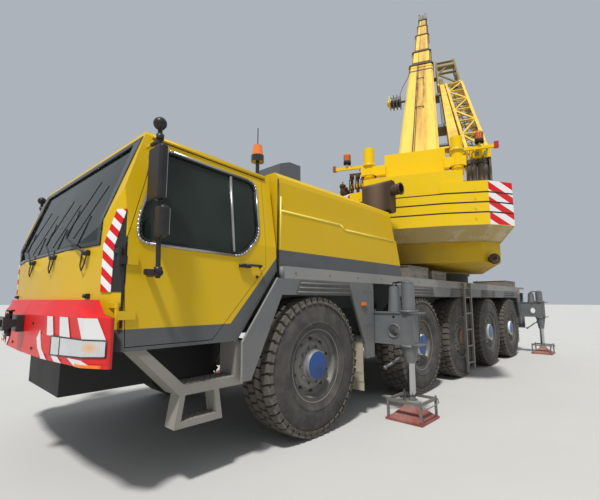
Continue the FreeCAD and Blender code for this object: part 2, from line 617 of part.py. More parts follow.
def cabInterior():
    """Two seats, the dashboard and the steering wheel."""
    floor = size.cabFloor + size.cabWall
    seats = []
    for mid in (750, -750):
        seats.append(prism("XZ", [(7120, floor), (7420, floor), (7420, floor + 330), (7560, floor + 350),
                                  (7560, floor + 470), (7180, floor + 450), (7080, floor + 1050),
                                  (6970, floor + 1030), (7050, floor + 350)], mid - 260, mid + 260))
    dash = prism("XZ", [(7780, floor), (7990, floor), (7990, 1700), (7930, 1730), (7780, 1620)], -1100, 1100)
    wheel = Part.makeTorus(230, 16, Vector(0, 0, 0), Vector(0, 0, 1))
    hub = Part.makeCylinder(235, 12, Vector(0, 0, -6)).cut(
        Part.makeBox(500, 180, 40, Vector(-250, 30, -20))).cut(Part.makeBox(500, 180, 40, Vector(-250, -210, -20)))
    column = Part.makeCylinder(30, 300, Vector(0, 0, -300))
    steering = wheel.fuse([hub, column])
    steering.Placement = Placement(Vector(7690, 750, 1760), Rotation(Vector(0, 1, 0), -35))
    return Part.makeCompound(seats + [dash.fuse(steering)])


node(formed("CabInterior", cabInterior()), "cab_interior")


def bumperForm():
    """The wrapped front bumper with a leaning upper face, lamp recesses and the tow coupling's jaw."""
    front = size.cabNose + size.bumperThick
    outer = [(8035, -1495), (8060, -1480), (8150, -1310), (front - 15, -640), (front, 0), (front - 15, 640),
             (8150, 1310), (8060, 1480), (8035, 1495)]
    inner = [(7000, -1442), (7962, -1442), (8063, -1291), (size.cabNose - 18, -601), (size.cabNose + 2, 0),
             (size.cabNose - 18, 601), (8063, 1291), (7962, 1442), (7000, 1442)]
    crease = size.bumperTop - 120
    rim = drawnIn(outer, size.bumperTop, size.bumperLean).OuterWire
    upper = Part.makeLoft([wireAt(outer, crease), rim], True, True)
    ring = prism("XY", outer, size.bumperBottom, crease).fuse(upper).cut(
        prism("XY", inner, size.bumperBottom - 10, size.bumperTop + 10))
    for sign in (1, -1):
        ring = ring.cut(boxed((8043, 8300), sorted((sign * 600, sign * 1440)), (1000, 1118)))
    plateBehind = boxed((size.noseFront, size.cabNose + 40), (-420, 420), (size.bumperBottom, size.cabFloor - 1))
    jaw = boxed((front - 10, front + 60), (-110, 110), (1120, 1260))
    mouth = prism("XZ", [(front + 50, 1170), (front + 150, 1130), (front + 150, 1250), (front + 50, 1210)], -75, 75)
    slot = boxed((front + 61, front + 300), (-50, 50), (1160, 1220))
    pin = Part.makeCylinder(25, 170, Vector(front + 100, 0, 1105))
    return ring.fuse([plateBehind, jaw, mouth.cut(slot), pin])


node(formed("Bumper", bumperForm().removeSplitter()), "front_bumper")


def lampsForm():
    """Headlamps in the bumper, roof beacon and the two tail lamp clusters."""
    solids = []
    front = size.cabNose + size.bumperThick
    gap = size.seatGap
    for sign in (1, -1):
        box = boxed((8043 + gap, 8300), sorted((sign * (600 + gap), sign * (1440 - gap))), (1000 + gap, 1118 - gap))
        outer = prism("XY", [(8000, sign * 500), (8000, sign * 1475), (8056, sign * 1475), (8144, sign * 1306),
                             (front - 21, sign * 640), (front - 19, sign * 500)], 900, 1200)
        inner = prism("XY", [(7900, sign * 500), (7900, sign * 1500), (8064, sign * 1292),
                             (size.cabNose - 17, sign * 601), (size.cabNose - 10, sign * 500)], 900, 1200)
        solids.append(box.common(outer).cut(inner))
        solids.append(boxed((size.frameRear - 75, size.frameRear - 30.3), sorted((sign * 1050, sign * 1400)),
                            (700, 830)))
    x, y, roof = 6575, 1195, size.cabRoof
    stem = Part.makeCylinder(20, 260, Vector(x, y, roof - 120))
    foot = Part.makeCylinder(68, 70, Vector(x, y, roof + 130))
    lens = Part.makeCone(60, 46, 110, Vector(x, y, roof + 200))
    whip = Part.makeCylinder(5, 200, Vector(x, y, roof + 305))
    solids.append(stem.fuse([foot, lens, whip]).cut(cabForm(0)))
    return Part.makeCompound(solids)


node(formed("Lamps", lampsForm()), "carrier_lamps")


# Engine cover behind the cab

COVER_SIDE = [(size.coverFront, size.deckTop), (size.coverFront, size.coverTop), (5560, size.coverTop - 5),
              (size.coverRear + 270, size.coverTop - 50), (size.coverRear, size.deckTop)]
CREASE = [(3800, 1000), (3800, 2230), (5400, 2230), (5500, 2280), (7000, 2280), (7000, 1000)]


def coverForm(inset):
    """Engine cover with a folded crease, narrower above it."""
    half = size.coverHalf - inset
    face = Part.Face(Part.makePolygon([Vector(u, -half, v) for u, v in COVER_SIDE + COVER_SIDE[:1]]))
    if inset:
        face = face.makeOffset2D(-inset)
    full = face.extrude(Vector(0, 2 * half, 0))
    top = size.coverTop - inset
    section = prism("YZ", [(-half, 1000), (half, 1000), (half, top - 260), (half - 30, top - 60),
                           (half - 110, top + 20), (110 - half, top + 20), (30 - half, top - 60),
                           (-half, top - 260)], 3000, 7500)
    full = full.common(section)
    lower = full.common(prism("XZ", CREASE, -2000, 2000))
    upper = full.common(boxed((3000, 7500), (size.creaseStep - half, half - size.creaseStep), (1000, 3000)))
    return lower.fuse(upper)


cover = coverForm(0).cut(coverForm(size.coverWall)).cut(
    boxed((size.coverRear + 60, size.coverFront - 40), (60 - size.coverHalf, size.coverHalf - 60),
          (size.deckTop - 10, size.deckTop + size.coverWall + 10)))
node(formed("EngineCover", cover.removeSplitter()), "engine_cover")
node(block("EngineBlock", ("4600", "6250"), ("-450", "450"), ("deckTop", "2450")), "engine_block")


def coverFittings():
    """The silencer behind the cover and the air intake on it."""
    box = boxed((3830, 4000), (790, 1300), (2720, 3235))
    box = box.makeFillet(60, [edge for edge in box.Edges if abs(edge.tangentAt(edge.FirstParameter).y) > 0.9])
    outlet = Part.makeCylinder(85, 150, Vector(3915, 1295, 3075), Vector(0, 1, 0)).cut(
        Part.makeCylinder(76, 150, Vector(3915, 1330, 3075), Vector(0, 1, 0)))
    riser = Part.makeCylinder(60, 2721 - size.deckTop, Vector(3900, 1045, size.deckTop))
    silencer = box.fuse([outlet, riser])
    top = size.coverTop
    intake = prism("XZ", [(6300, top - 3), (6280, top + 190), (6130, top + 245), (5950, top + 245),
                          (5950, top - 3)], 880, 1230)
    return Part.makeCompound([silencer, intake.cut(coverForm(0))])


node(formed("CoverFittings", coverFittings()), "silencer_and_intake")


# Slewing part, drawn with the boom along +X and turned to its bearing as a whole

SLEW = Rotation(Vector(0, 0, 1), 180 + size.boomBearing)


def slewed(item, label):
    item.Placement = Placement(Vector(0, 0, 0), SLEW)
    item.setExpression(".Placement.Rotation.Angle", rule("180 + boomBearing"))
    return node(item, label)


def turntableForm():
    """Ring plate, rear body, spine, boom side plates and pins."""
    disc = bar("RingDisc", "ringRadius + 40", "60 - seatGap", 0, 0, "ringTop + seatGap")
    slot = block("RingSlot", ("100", "ringRadius + 100"), ("-liftSlot", "liftSlot"), ("ringTop", "ringTop + 100"))
    ring = cut("RingPlate", disc, slot)
    body = plate("SlewBody", "XY", [
        ("bodyRear", "-bodyHalf + 300"), ("bodyRear + 300", "-bodyHalf"), ("bodyFront", "-bodyHalf"),
        ("bodyFront", "bodyHalf"), ("bodyRear + 300", "bodyHalf"), ("bodyRear", "bodyHalf - 300")],
        "ringTop + 50", "bodyTop")
    outer = "plateInner + plateThick"
    rail = block("SpineRail", ("bodyFront - 5", "spineFront"), ("liftSlot", outer), ("ringTop + 50", "bodyTop"))
    lug = plate("FootLug", "XZ", [
        ("footX - 220", "bodyTop - 1"), ("footX - 70", "footZ + 110"), ("footX + 70", "footZ + 110"),
        ("footX + 220", "bodyTop - 1")], "liftSlot", "liftSlot + 45")
    cheek = plate("Cheek", "XZ", [
        ("-2300", "bodyTop - 1"), ("pivotX - 330", "pivotZ - 250"), ("pivotX - 200", "pivotZ + 200"),
        ("pivotX + 200", "pivotZ + 200"), ("pivotX + 420", "pivotZ - 250"), ("200", "2750"),
        ("spineFront", "bodyTop + 120"), ("spineFront", "bodyTop - 1")], "plateInner", outer)
    pivot = bar("PivotPin", "pivotPin", "2 * (%s) + 60" % outer, "pivotX", "-(%s) - 30" % outer, "pivotZ", "y")
    seat = block("CabSeat", ("250", "2050"), ("liftSlot + 10", "1480"), ("ringTop + 5", "ringTop + 45"))
    step = block("CabStep", ("250", "2050"), ("840", "1480"), ("ringTop + 44", "ringTop + 100"))
    return fuse("Turntable", [ring, body, rail, mirrored("SpineRailRight", rail), lug, mirrored("FootLugRight", lug),
                              cheek, mirrored("CheekRight", cheek), pivot, seat, step],
                False)


slewed(turntableForm(), "turntable")

SLAB = [(-size.slabRear, -450), (-size.slabRear + 100, -1080), (-size.slabRear + 400, -size.slabHalf),
        (-size.slabFront, -size.slabHalf), (-size.slabFront, size.slabHalf),
        (-size.slabRear + 400, size.slabHalf), (-size.slabRear + 100, 1080), (-size.slabRear, 450)]
KEEL = [(-size.slabRear + 250, -400), (-size.slabRear + 330, -980), (-size.slabRear + 620, -1310),
        (-size.slabFront, -1310), (-size.slabFront, 1310), (-size.slabRear + 620, 1310),
        (-size.slabRear + 330, 980), (-size.slabRear + 250, 400)]
TAIL_BEAM = [(-size.slabRear + 20, -440), (-size.slabRear + 60, -740), (-size.slabFront, -740),
             (-size.slabFront, 840), (-size.slabRear + 60, 840), (-size.slabRear + 20, 440)]


def counterweightForm():
    """Sloped keel, three full slabs, two part slabs and the beam that carries the lifting gear."""
    groove = size.slabGroove
    belts = [size.beltOne, size.beltTwo, size.beltThree, size.beltFour]
    solids = [Part.makeLoft([wireAt(KEEL, size.bodyTop), wireAt(SLAB, size.beltOne)], True, True)]
    for low, high in zip(belts, belts[1:]):
        solids.append(drawnIn(SLAB, low, 0).extrude(Vector(0, 0, high - low - groove)))
        solids.append(drawnIn(SLAB, high - groove, 14).extrude(Vector(0, 0, groove)))
    top = drawnIn(SLAB, size.beltFour, 0).extrude(Vector(0, 0, size.beltTop - size.beltFour))
    middle = boxed((-4000, -2000), (-380, 840), (3000, 3500))
    solids.append(top.cut(middle))
    solids.append(drawnIn(TAIL_BEAM, size.beltFour, 0).extrude(Vector(0, 0, size.tailBeamTop - size.beltFour)))
    return solids[0].fuse(solids[1:]).removeSplitter()


slewed(formed("Counterweight", counterweightForm()), "counterweight")


# Lamp arms: side, height of the arm, lamp's distance and the arm's end from the middle.
# Valves: places of the upright valves along the left edge of the top slab.
LAMP_ARMS = [(1, 300, 1170, 1380), (-1, 385, 1030, 1250)]
VALVES = [-3150, -2950, -2750, -2550]


def ballastGear():
    """Cross plate, two lifting cylinders in their brackets, the lamp arms and the valve stack."""
    base = size.tailBeamTop
    cross = boxed((-3380, -3340), (-500, 500), (base + 30, base + 500))
    web = prism("XZ", [(-3560, base), (-3560, base + 20), (-3380, base + 60), (-3000, base + 60), (-3000, base)],
                -440, 440)
    solids = [web]
    for sign, level, lamp, end in LAMP_ARMS:
        mid = 730 + sign * 45
        solids.append(Part.makeCylinder(95, 640, Vector(-3400, sign * mid, base)))
        solids.append(boxed((-3480, -3330), sorted((sign * 480, sign * (mid + 130))), (base + 120, base + 290)))
        solids.append(boxed((-3440, -3395), sorted((sign * 790, sign * end)), (base + level, base + level + 50)))
        solids.append(Part.makeCylinder(14, 90, Vector(-3415, sign * lamp, base + level + 40)))
        solids.append(Part.makeCylinder(66, 60, Vector(-3415, sign * lamp, base + level + 110)))
        solids.append(Part.makeCylinder(60, 90, Vector(-3415, sign * lamp, base + level + 170)))
        solids.append(Part.makeSphere(60, Vector(-3415, sign * lamp, base + level + 260)))
        solids.append(boxed((-3450, -3380), sorted((sign * (end - 10), sign * (end + 55))),
                            (base + level - 10, base + level + 90)))
    gear = cross.fuse(solids)
    top = size.beltTop
    stack = [Part.makeCylinder(85, 500, Vector(-3150, -y, top)) for y in (915, 1090)]
    stack.append(boxed((-3260, -2980), (-1210, -900), (top + 495, top + 640)))
    stack.append(boxed((-3240, -3010), (-1210, -1180), (top, top + 500)))
    bank = boxed((VALVES[0] - 60, VALVES[-1] + 60), (1290, 1370), (top, top + 60))
    bank = bank.fuse([Part.makeCylinder(42, 290, Vector(x, 1330, top + 1)) for x in VALVES])
    return Part.makeCompound([gear.removeSplitter(), stack[0].fuse(stack[1:]).removeSplitter(), bank])


slewed(formed("BallastGear", ballastGear()), "ballast_lifting_gear")


def winchForm():
    """Hoist winch between the side plates."""
    x, z = -650, 2750
    drum = Part.makeCylinder(240, 640, Vector(x, -320, z), Vector(0, 1, 0))
    flanges = [Part.makeCylinder(330, 30, Vector(x, y, z), Vector(0, 1, 0)) for y in (-350, 320)]
    stands = [boxed((x - 200, x + 200), (y, y + 60), (size.bodyTop, z + 60)) for y in (-410, 350)]
    shaft = Part.makeCylinder(70, 820, Vector(x, -410, z), Vector(0, 1, 0))
    return drum.fuse(flanges + stands + [shaft])


slewed(formed("Winch", winchForm()), "hoist_winch")

CRANE_CAB = [(350, 2050), (1980, 2050), (2180, 2600), (1930, 3520), (430, 3520)]
CRANE_CAB_SIDE = [(560, 2700), (2060, 2700), (1850, 3400), (620, 3400)]


def craneCabForm(inset):
    face = Part.Face(Part.makePolygon([Vector(u, 850 + inset, v) for u, v in CRANE_CAB + CRANE_CAB[:1]]))
    if inset:
        face = face.makeOffset2D(-inset)
    return face.extrude(Vector(0, 630 - 2 * inset, 0))


craneShell = craneCabForm(0).cut(craneCabForm(40))
cranePane = craneCabForm(15).cut(craneCabForm(21))


def craneWindows(inset):
    side = shrunk(CRANE_CAB_SIDE, "XZ", 1400, 1600, inset)
    front = boxed((1900 if inset else 1800, 2400), (920 + inset, 1410 - inset), (2680 + inset, 3440 - inset))
    roof = boxed((900 + inset, 1700 - inset), (950 + inset, 1380 - inset), (3450, 3600))
    return [side, front, roof]


holes = craneWindows(0)
slewed(formed("CraneCab", craneShell.cut(holes[0]).cut(holes[1]).cut(holes[2]).removeSplitter()), "crane_cab")
panes = [cranePane.common(hole) for hole in craneWindows(size.seatGap)]
slewed(formed("CraneCabGlass", panes[0].fuse(panes[1:])), "crane_cab_glass")


# Boom, drawn along +X from its pivot and raised as a whole

BOOM = Placement(Vector(0, 0, 0), SLEW).multiply(
    Placement(Vector(size.pivotX, 0, size.pivotZ), Rotation(Vector(0, 1, 0), -size.boomRaise)))

# Boom sections: name, width, depth, rear end, front end.
SECTIONS = [
    ("boom_base", 900, 850, -350, 10310),
    ("boom_section_1", 800, 760, 3210, 13410),
    ("boom_section_2", 700, 670, 8750, 18750),
    ("boom_section_3", 600, 580, 13100, 22900),
    ("boom_section_4", 510, 500, 16700, 26300),
    ("boom_section_5", 430, 430, 17850, 27050),
]


def boomed(shape, name, label):
    feature = formed(name, shape)
    feature.Placement = BOOM
    return node(feature, label)


def tubeWire(wide, deep, at, grow=0):
    """Boom section outline: flat top with small chamfers and a rounded underside."""
    half, mid = wide / 2 + grow, size.boomAxisV
    top, low = mid + deep / 2 + grow, mid - deep / 2 - grow
    bevel = 0.07 * wide
    spring = low + 0.34 * deep
    points = [Vector(at, half, spring), Vector(at, half, top - bevel), Vector(at, half - bevel, top),
              Vector(at, bevel - half, top), Vector(at, -half, top - bevel), Vector(at, -half, spring)]
    edges = [Part.LineSegment(a, b).toShape() for a, b in zip(points, points[1:])]
    edges.append(Part.Arc(points[-1], Vector(at, 0, low), points[0]).toShape())
    return Part.Wire(edges)


def tube(wide, deep, start, end, grow=0):
    return Part.Face(tubeWire(wide, deep, start, grow)).extrude(Vector(end - start, 0, 0))


def sectionForm(index):
    """One hollow section with its front collar, which guides the next section on slide pads."""
    label, wide, deep, start, end = SECTIONS[index]
    solid = tube(wide, deep, start, end).cut(tube(wide, deep, start - 10, end + 10, -size.boomWall))
    collar = tube(wide, deep, end - size.collarLong, end, size.collarProud)
    if index + 1 < len(SECTIONS):
        _, nextWide, nextDeep, _, _ = SECTIONS[index + 1]
        guide = tube(nextWide, nextDeep, end - size.collarLong - 10, end + 10, size.padFit)
        collar = collar.cut(guide)
    return solid.fuse(collar)


def baseForm():
    solid = sectionForm(0)
    cheeks = [boxed((-200, 700), sorted((sign * 410, sign * 450)), (-170, 400)) for sign in (1, -1)]
    hub = Part.makeCylinder(150, 900, Vector(0, -450, 0), Vector(0, 1, 0))
    bore = Part.makeCylinder(size.pivotPin + size.pinFit, 1200, Vector(0, -600, 0), Vector(0, 1, 0))
    lugs = []
    lugInner = size.barrelRadius + 12
    for sign in (1, -1):
        lugs.append(prism("XZ", [(size.liftEyeS - 420, -60), (size.liftEyeS + 420, -60),
                                 (size.liftEyeS + 150, size.liftEyeV - 120), (size.liftEyeS, size.liftEyeV - 170),
                                 (size.liftEyeS - 150, size.liftEyeV - 120)],
                          *sorted((sign * lugInner, sign * (lugInner + 40)))))
    lugs.append(Part.makeCylinder(60, 2 * lugInner + 80, Vector(size.liftEyeS, -lugInner - 40, size.liftEyeV),
                                  Vector(0, 1, 0)))
    ring = tube(900, 850, 9700, 9740, 26).cut(tube(900, 850, 9690, 9750, -6))
    return solid.fuse(cheeks + [hub] + lugs + [ring]).cut(bore)


# Rope sheaves of the boom head: place along the boom from the tube's end, height, radius
HEAD_SHEAVES = [(520, -60, 150), (590, 440, 210)]


def headForm():
    """Last section with the boom head's side plates and rope sheaves."""
    solid = sectionForm(5)
    end = SECTIONS[5][4]
    half = size.headHalf
    plates = [prism("XZ", [(end - 150, 110), (end - 150, 560), (end + 150, 790), (end + 560, 800), (end + 860, 560),
                           (end + 810, 250), (end + 560, -230), (end + 300, -260), (end - 100, 60)],
                    *sorted((sign * half, sign * (half - 25)))) for sign in (1, -1)]
    plates.append(boxed((end - 150, end - 110), (-half + 5, half - 5), (90, 545)))
    plates.append(prism("XZ", [(end - 150, 530), (end + 150, 760), (end + 150, 790), (end - 150, 560)],
                        5 - half, half - 5))
    sheaves = [Part.makeCylinder(radius, 2 * half - 90, Vector(end + x, 45 - half, z), Vector(0, 1, 0))
               for x, z, radius in HEAD_SHEAVES]
    pins = [Part.makeCylinder(35, 2 * half, Vector(end + x, -half, z), Vector(0, 1, 0))
            for x, z, _ in HEAD_SHEAVES]
    return solid.fuse(plates + sheaves + pins).removeSplitter()


boomed(baseForm(), "BoomBase", "boom_base")
for index in range(1, 5):
    boomed(sectionForm(index), "BoomSection%d" % index, "boom_section_%d" % index)
boomed(headForm(), "BoomHead", "boom_section_5")


def jibForm():
    """Folded lattice jib on the boom's right side: box beam, four-chord lattice and head frame."""
    beamTop, beamLow = 560, 200
    beam = Part.makeLoft([
        Part.makePolygon([Vector(1300, y, z) for y, z in
                          ((-690, beamLow), (-940, beamLow), (-940, beamTop), (-690, beamTop), (-690, beamLow))]),
        Part.makePolygon([Vector(8000, y, z) for y, z in
                          ((-630, beamLow), (-750, beamLow), (-750, beamTop), (-630, beamTop), (-630, beamLow))])],
        True, True)
    bays = 6
    start, end = 1240, 7100
    solids = [beam]

    def chord(x, side, level):
        share = (x - start) / (end - start)
        near, far = -1020 + 190 * share, -1420 + 100 * share
        return (x, near if side else far, level)

    for side in (0, 1):
        for level in (80, 560):
            solids.append(strut(chord(start, side, level), chord(end, side, level), 70))
    step = (end - start) / bays
    for bay in range(bays + 1):
        x = start + bay * step
        solids.append(strut(chord(x, 0, 560), chord(x, 1, 560), 45))
        solids.append(strut(chord(x, 0, 80), chord(x, 1, 80), 45))
        solids.append(strut(chord(x, 0, 80), chord(x, 0, 560), 45))
        solids.append(strut(chord(x, 1, 80), chord(x, 1, 560), 45))
        if bay < bays:
            swap = bay % 2
            solids.append(strut(chord(x, swap, 560), chord(x + step, 1 - swap, 560), 40))
            for side in (0, 1):
                low, high = (80, 560) if swap else (560, 80)
                solids.append(strut(chord(x, side, low), chord(x + step, side, high), 40))
    return solids[0].fuse(solids[1:])


def jibHead():
    """Head frame of the jib ahead of the lattice, with its rope roller and the brackets to the boom."""
    solids = []
    for y in (-620, -1300):
        solids.append(boxed((7065, 10850), (y, y + 60), (480, 600)))
        solids.append(boxed((7065, 10850), (y, y + 60), (60, 130)))
    for x in (7065, 8900, 10780):
        solids.append(boxed((x, x + 70), (-1300, -560), (480, 560)))
        solids.append(boxed((x, x + 70), (-1300, -560), (60, 130)))
        solids.append(boxed((x, x + 70), (-620, -560), (60, 560)))
        solids.append(boxed((x, x + 70), (-1300, -1240), (60, 560)))
    solids.append(strut((8930, -600, 520), (10800, -1270, 520), 50))
    solids.append(strut((7100, -1270, 520), (8930, -600, 520), 50))
    solids.append(Part.makeCylinder(120, 600, Vector(9950, -1230, 520), Vector(0, 1, 0)))
    solids.append(Part.makeCylinder(25, 700, Vector(9950, -1280, 520), Vector(0, 1, 0)))
    solids.append(boxed((1900, 2000), (-700, -450.3), (260, 400)))
    solids.append(boxed((9000, 9100), (-600, -450.3), (260, 400)))
    solids.append(boxed((9000, 9100), (-620, -560), (100, 500)))
    solids.append(boxed((1300, 1370), (-1080, -860), (400, 470)))
    solids.append(boxed((7065, 7135), (-860, -620), (400, 470)))
    return solids


boomed(jibForm().fuse(jibHead()), "FoldingJib", "folding_jib")


def reelForm():
    """Cable reel on the boom's left side."""
    x, z = 6400, 440
    drum = Part.makeCylinder(150, 370, Vector(x, 660, z), Vector(0, 1, 0))
    flanges = [Part.makeCylinder(260, 22, Vector(x, y, z), Vector(0, 1, 0)) for y in (660, 775, 890, 1008)]
    shaft = Part.makeCylinder(45, 240, Vector(x, 450.3, z), Vector(0, 1, 0))
    motor = Part.makeCylinder(110, 90, Vector(x, 1020, z), Vector(0, 1, 0))
    foot = boxed((x - 120, x + 120), (450.3, 480), (z - 140, z + 140))
    return drum.fuse(flanges + [shaft, motor, foot])


boomed(reelForm(), "CableReel", "cable_reel")


# Lift cylinder under the boom, between the side plates

def liftLine():
    """Length and slope of the line from the foot pin to the boom's lift pin, in the slewing frame."""
    slope = math.radians(size.boomRaise)
    eyeX = size.pivotX + size.liftEyeS * math.cos(slope) - size.liftEyeV * math.sin(slope)
    eyeZ = size.pivotZ + size.liftEyeS * math.sin(slope) + size.liftEyeV * math.cos(slope)
    run = Vector(eyeX - size.footX, 0, eyeZ - size.footZ)
    return run.Length, math.degrees(math.atan2(run.z, run.x))


liftLong, liftAngle = liftLine()
LIFT = Placement(Vector(0, 0, 0), SLEW).multiply(
    Placement(Vector(size.footX, 0, size.footZ), Rotation(Vector(0, 1, 0), -liftAngle)))


def liftBarrel():
    """Barrel with its eye on the boom's pin and its gland towards the foot."""
    start = liftLong - size.barrelLong
    body = Part.makeCylinder(size.barrelRadius, size.barrelLong - 120, Vector(start, 0, 0), Vector(1, 0, 0))
    gland = Part.makeCylinder(size.barrelRadius + 15, 130, Vector(start, 0, 0), Vector(1, 0, 0))
    eye = Part.makeCylinder(150, size.liftEyeWide, Vector(liftLong, -size.liftEyeWide / 2, 0), Vector(0, 1, 0))
    bore = Part.makeCylinder(size.liftRodRadius + size.rodFit, size.barrelLong - 190, Vector(start - 1, 0, 0),
                             Vector(1, 0, 0))
    pin = Part.makeCylinder(60 + size.pinFit, 600, Vector(liftLong, -300, 0), Vector(0, 1, 0))
    return body.fuse([gland, eye]).cut(bore).cut(pin)


def liftRod():
    """Rod with the eye and the pin that stand between the foot lugs."""
    rod = Part.makeCylinder(size.liftRodRadius, liftLong - 1800, Vector(0, 0, 0), Vector(1, 0, 0))
    eye = Part.makeCylinder(130, size.liftEyeWide, Vector(0, -size.liftEyeWide / 2, 0), Vector(0, 1, 0))
    pin = Part.makeCylinder(60, 2 * size.liftSlot - 2 * size.seatGap, Vector(0, size.seatGap - size.liftSlot, 0),
                            Vector(0, 1, 0))
    return rod.fuse([eye, pin])


for name, shape, label in (("LiftBarrel", liftBarrel(), "lift_cylinder_barrel"),
                           ("LiftRod", liftRod(), "lift_cylinder_rod")):
    feature = formed(name, shape)
    feature.Placement = LIFT
    node(feature, label)


# Check every object and write the sub-parts

document.recompute()
for item in document.Objects:
    if "Invalid" in item.State or "Error" in item.State:
        raise RuntimeError("%s did not recompute" % item.Label)
os.makedirs("parts", exist_ok=True)
for item in nodes:
    if item.Shape.isNull() or not item.Shape.isValid():
        raise RuntimeError("%s has no valid shape" % item.Label)
    item.Shape.exportStep("parts/%s.step" % item.Label)
print(len(nodes), "sub-parts")
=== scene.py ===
import math

import bmesh
import bpy
from mathutils import Matrix, Vector


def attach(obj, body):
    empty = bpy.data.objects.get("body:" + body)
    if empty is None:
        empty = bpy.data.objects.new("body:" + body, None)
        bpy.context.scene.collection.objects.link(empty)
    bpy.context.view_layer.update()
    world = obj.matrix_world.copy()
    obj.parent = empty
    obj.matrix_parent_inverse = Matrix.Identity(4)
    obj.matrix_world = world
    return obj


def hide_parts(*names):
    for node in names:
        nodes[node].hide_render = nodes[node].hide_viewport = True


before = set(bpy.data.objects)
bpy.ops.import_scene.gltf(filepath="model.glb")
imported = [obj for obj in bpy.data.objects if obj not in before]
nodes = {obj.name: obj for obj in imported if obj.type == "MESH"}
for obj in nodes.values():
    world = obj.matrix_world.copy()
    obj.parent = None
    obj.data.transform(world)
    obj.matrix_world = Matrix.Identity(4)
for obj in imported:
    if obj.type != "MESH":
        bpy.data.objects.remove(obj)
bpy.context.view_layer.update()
print("frame loaded:", len(nodes), "nodes")

# Frames of the slewing part and of the boom at rest, as in the part's source
slewAngle = math.radians(202.5)
boomRaise = math.radians(43.48)
boomPivot = Vector((-1.6, 0, 3.45))
slewFrame = Matrix.Rotation(slewAngle, 4, "Z")
boomFrame = slewFrame @ Matrix.Translation(boomPivot) @ Matrix.Rotation(-boomRaise, 4, "Y")
sides = (("left", 1), ("right", -1))
signs = (1, -1)
vertical = (0, 0, 1)

# Boom sections along the boom, with the stretch and half width of the dark lines painted on each
boomAxisV = 0.317
sectionColumns = ("body", "wide", "deep", "end", "paintFrom", "paintTo", "rimHalf")
sectionTable = [dict(zip(sectionColumns, row)) for row in (
    ("boom", 0.9, 0.85, 10.31, 9.7, 10.31, 0.49),
    ("boom_tube_1", 0.8, 0.76, 13.41, 10.31, 13.41, 0.4),
    ("boom_tube_2", 0.7, 0.67, 18.75, 13.41, 18.75, 0.35),
    ("boom_tube_3", 0.6, 0.58, 22.9, 18.75, 22.9, 0.3),
    ("boom_tube_4", 0.51, 0.5, 26.3, 22.9, 26.3, 0.255),
    ("boom_tube_5", 0.43, 0.43, 27.05, 26.3, 27.0, 0.215),
)]


def around(count, radius=1.0, shift=0.0):
    # Points (x, y) evenly spaced on a circle, shift being a share of their spacing
    turns = (2 * math.pi * (i + shift) / count for i in range(count))
    return [(math.cos(a) * radius, math.sin(a) * radius) for a in turns]


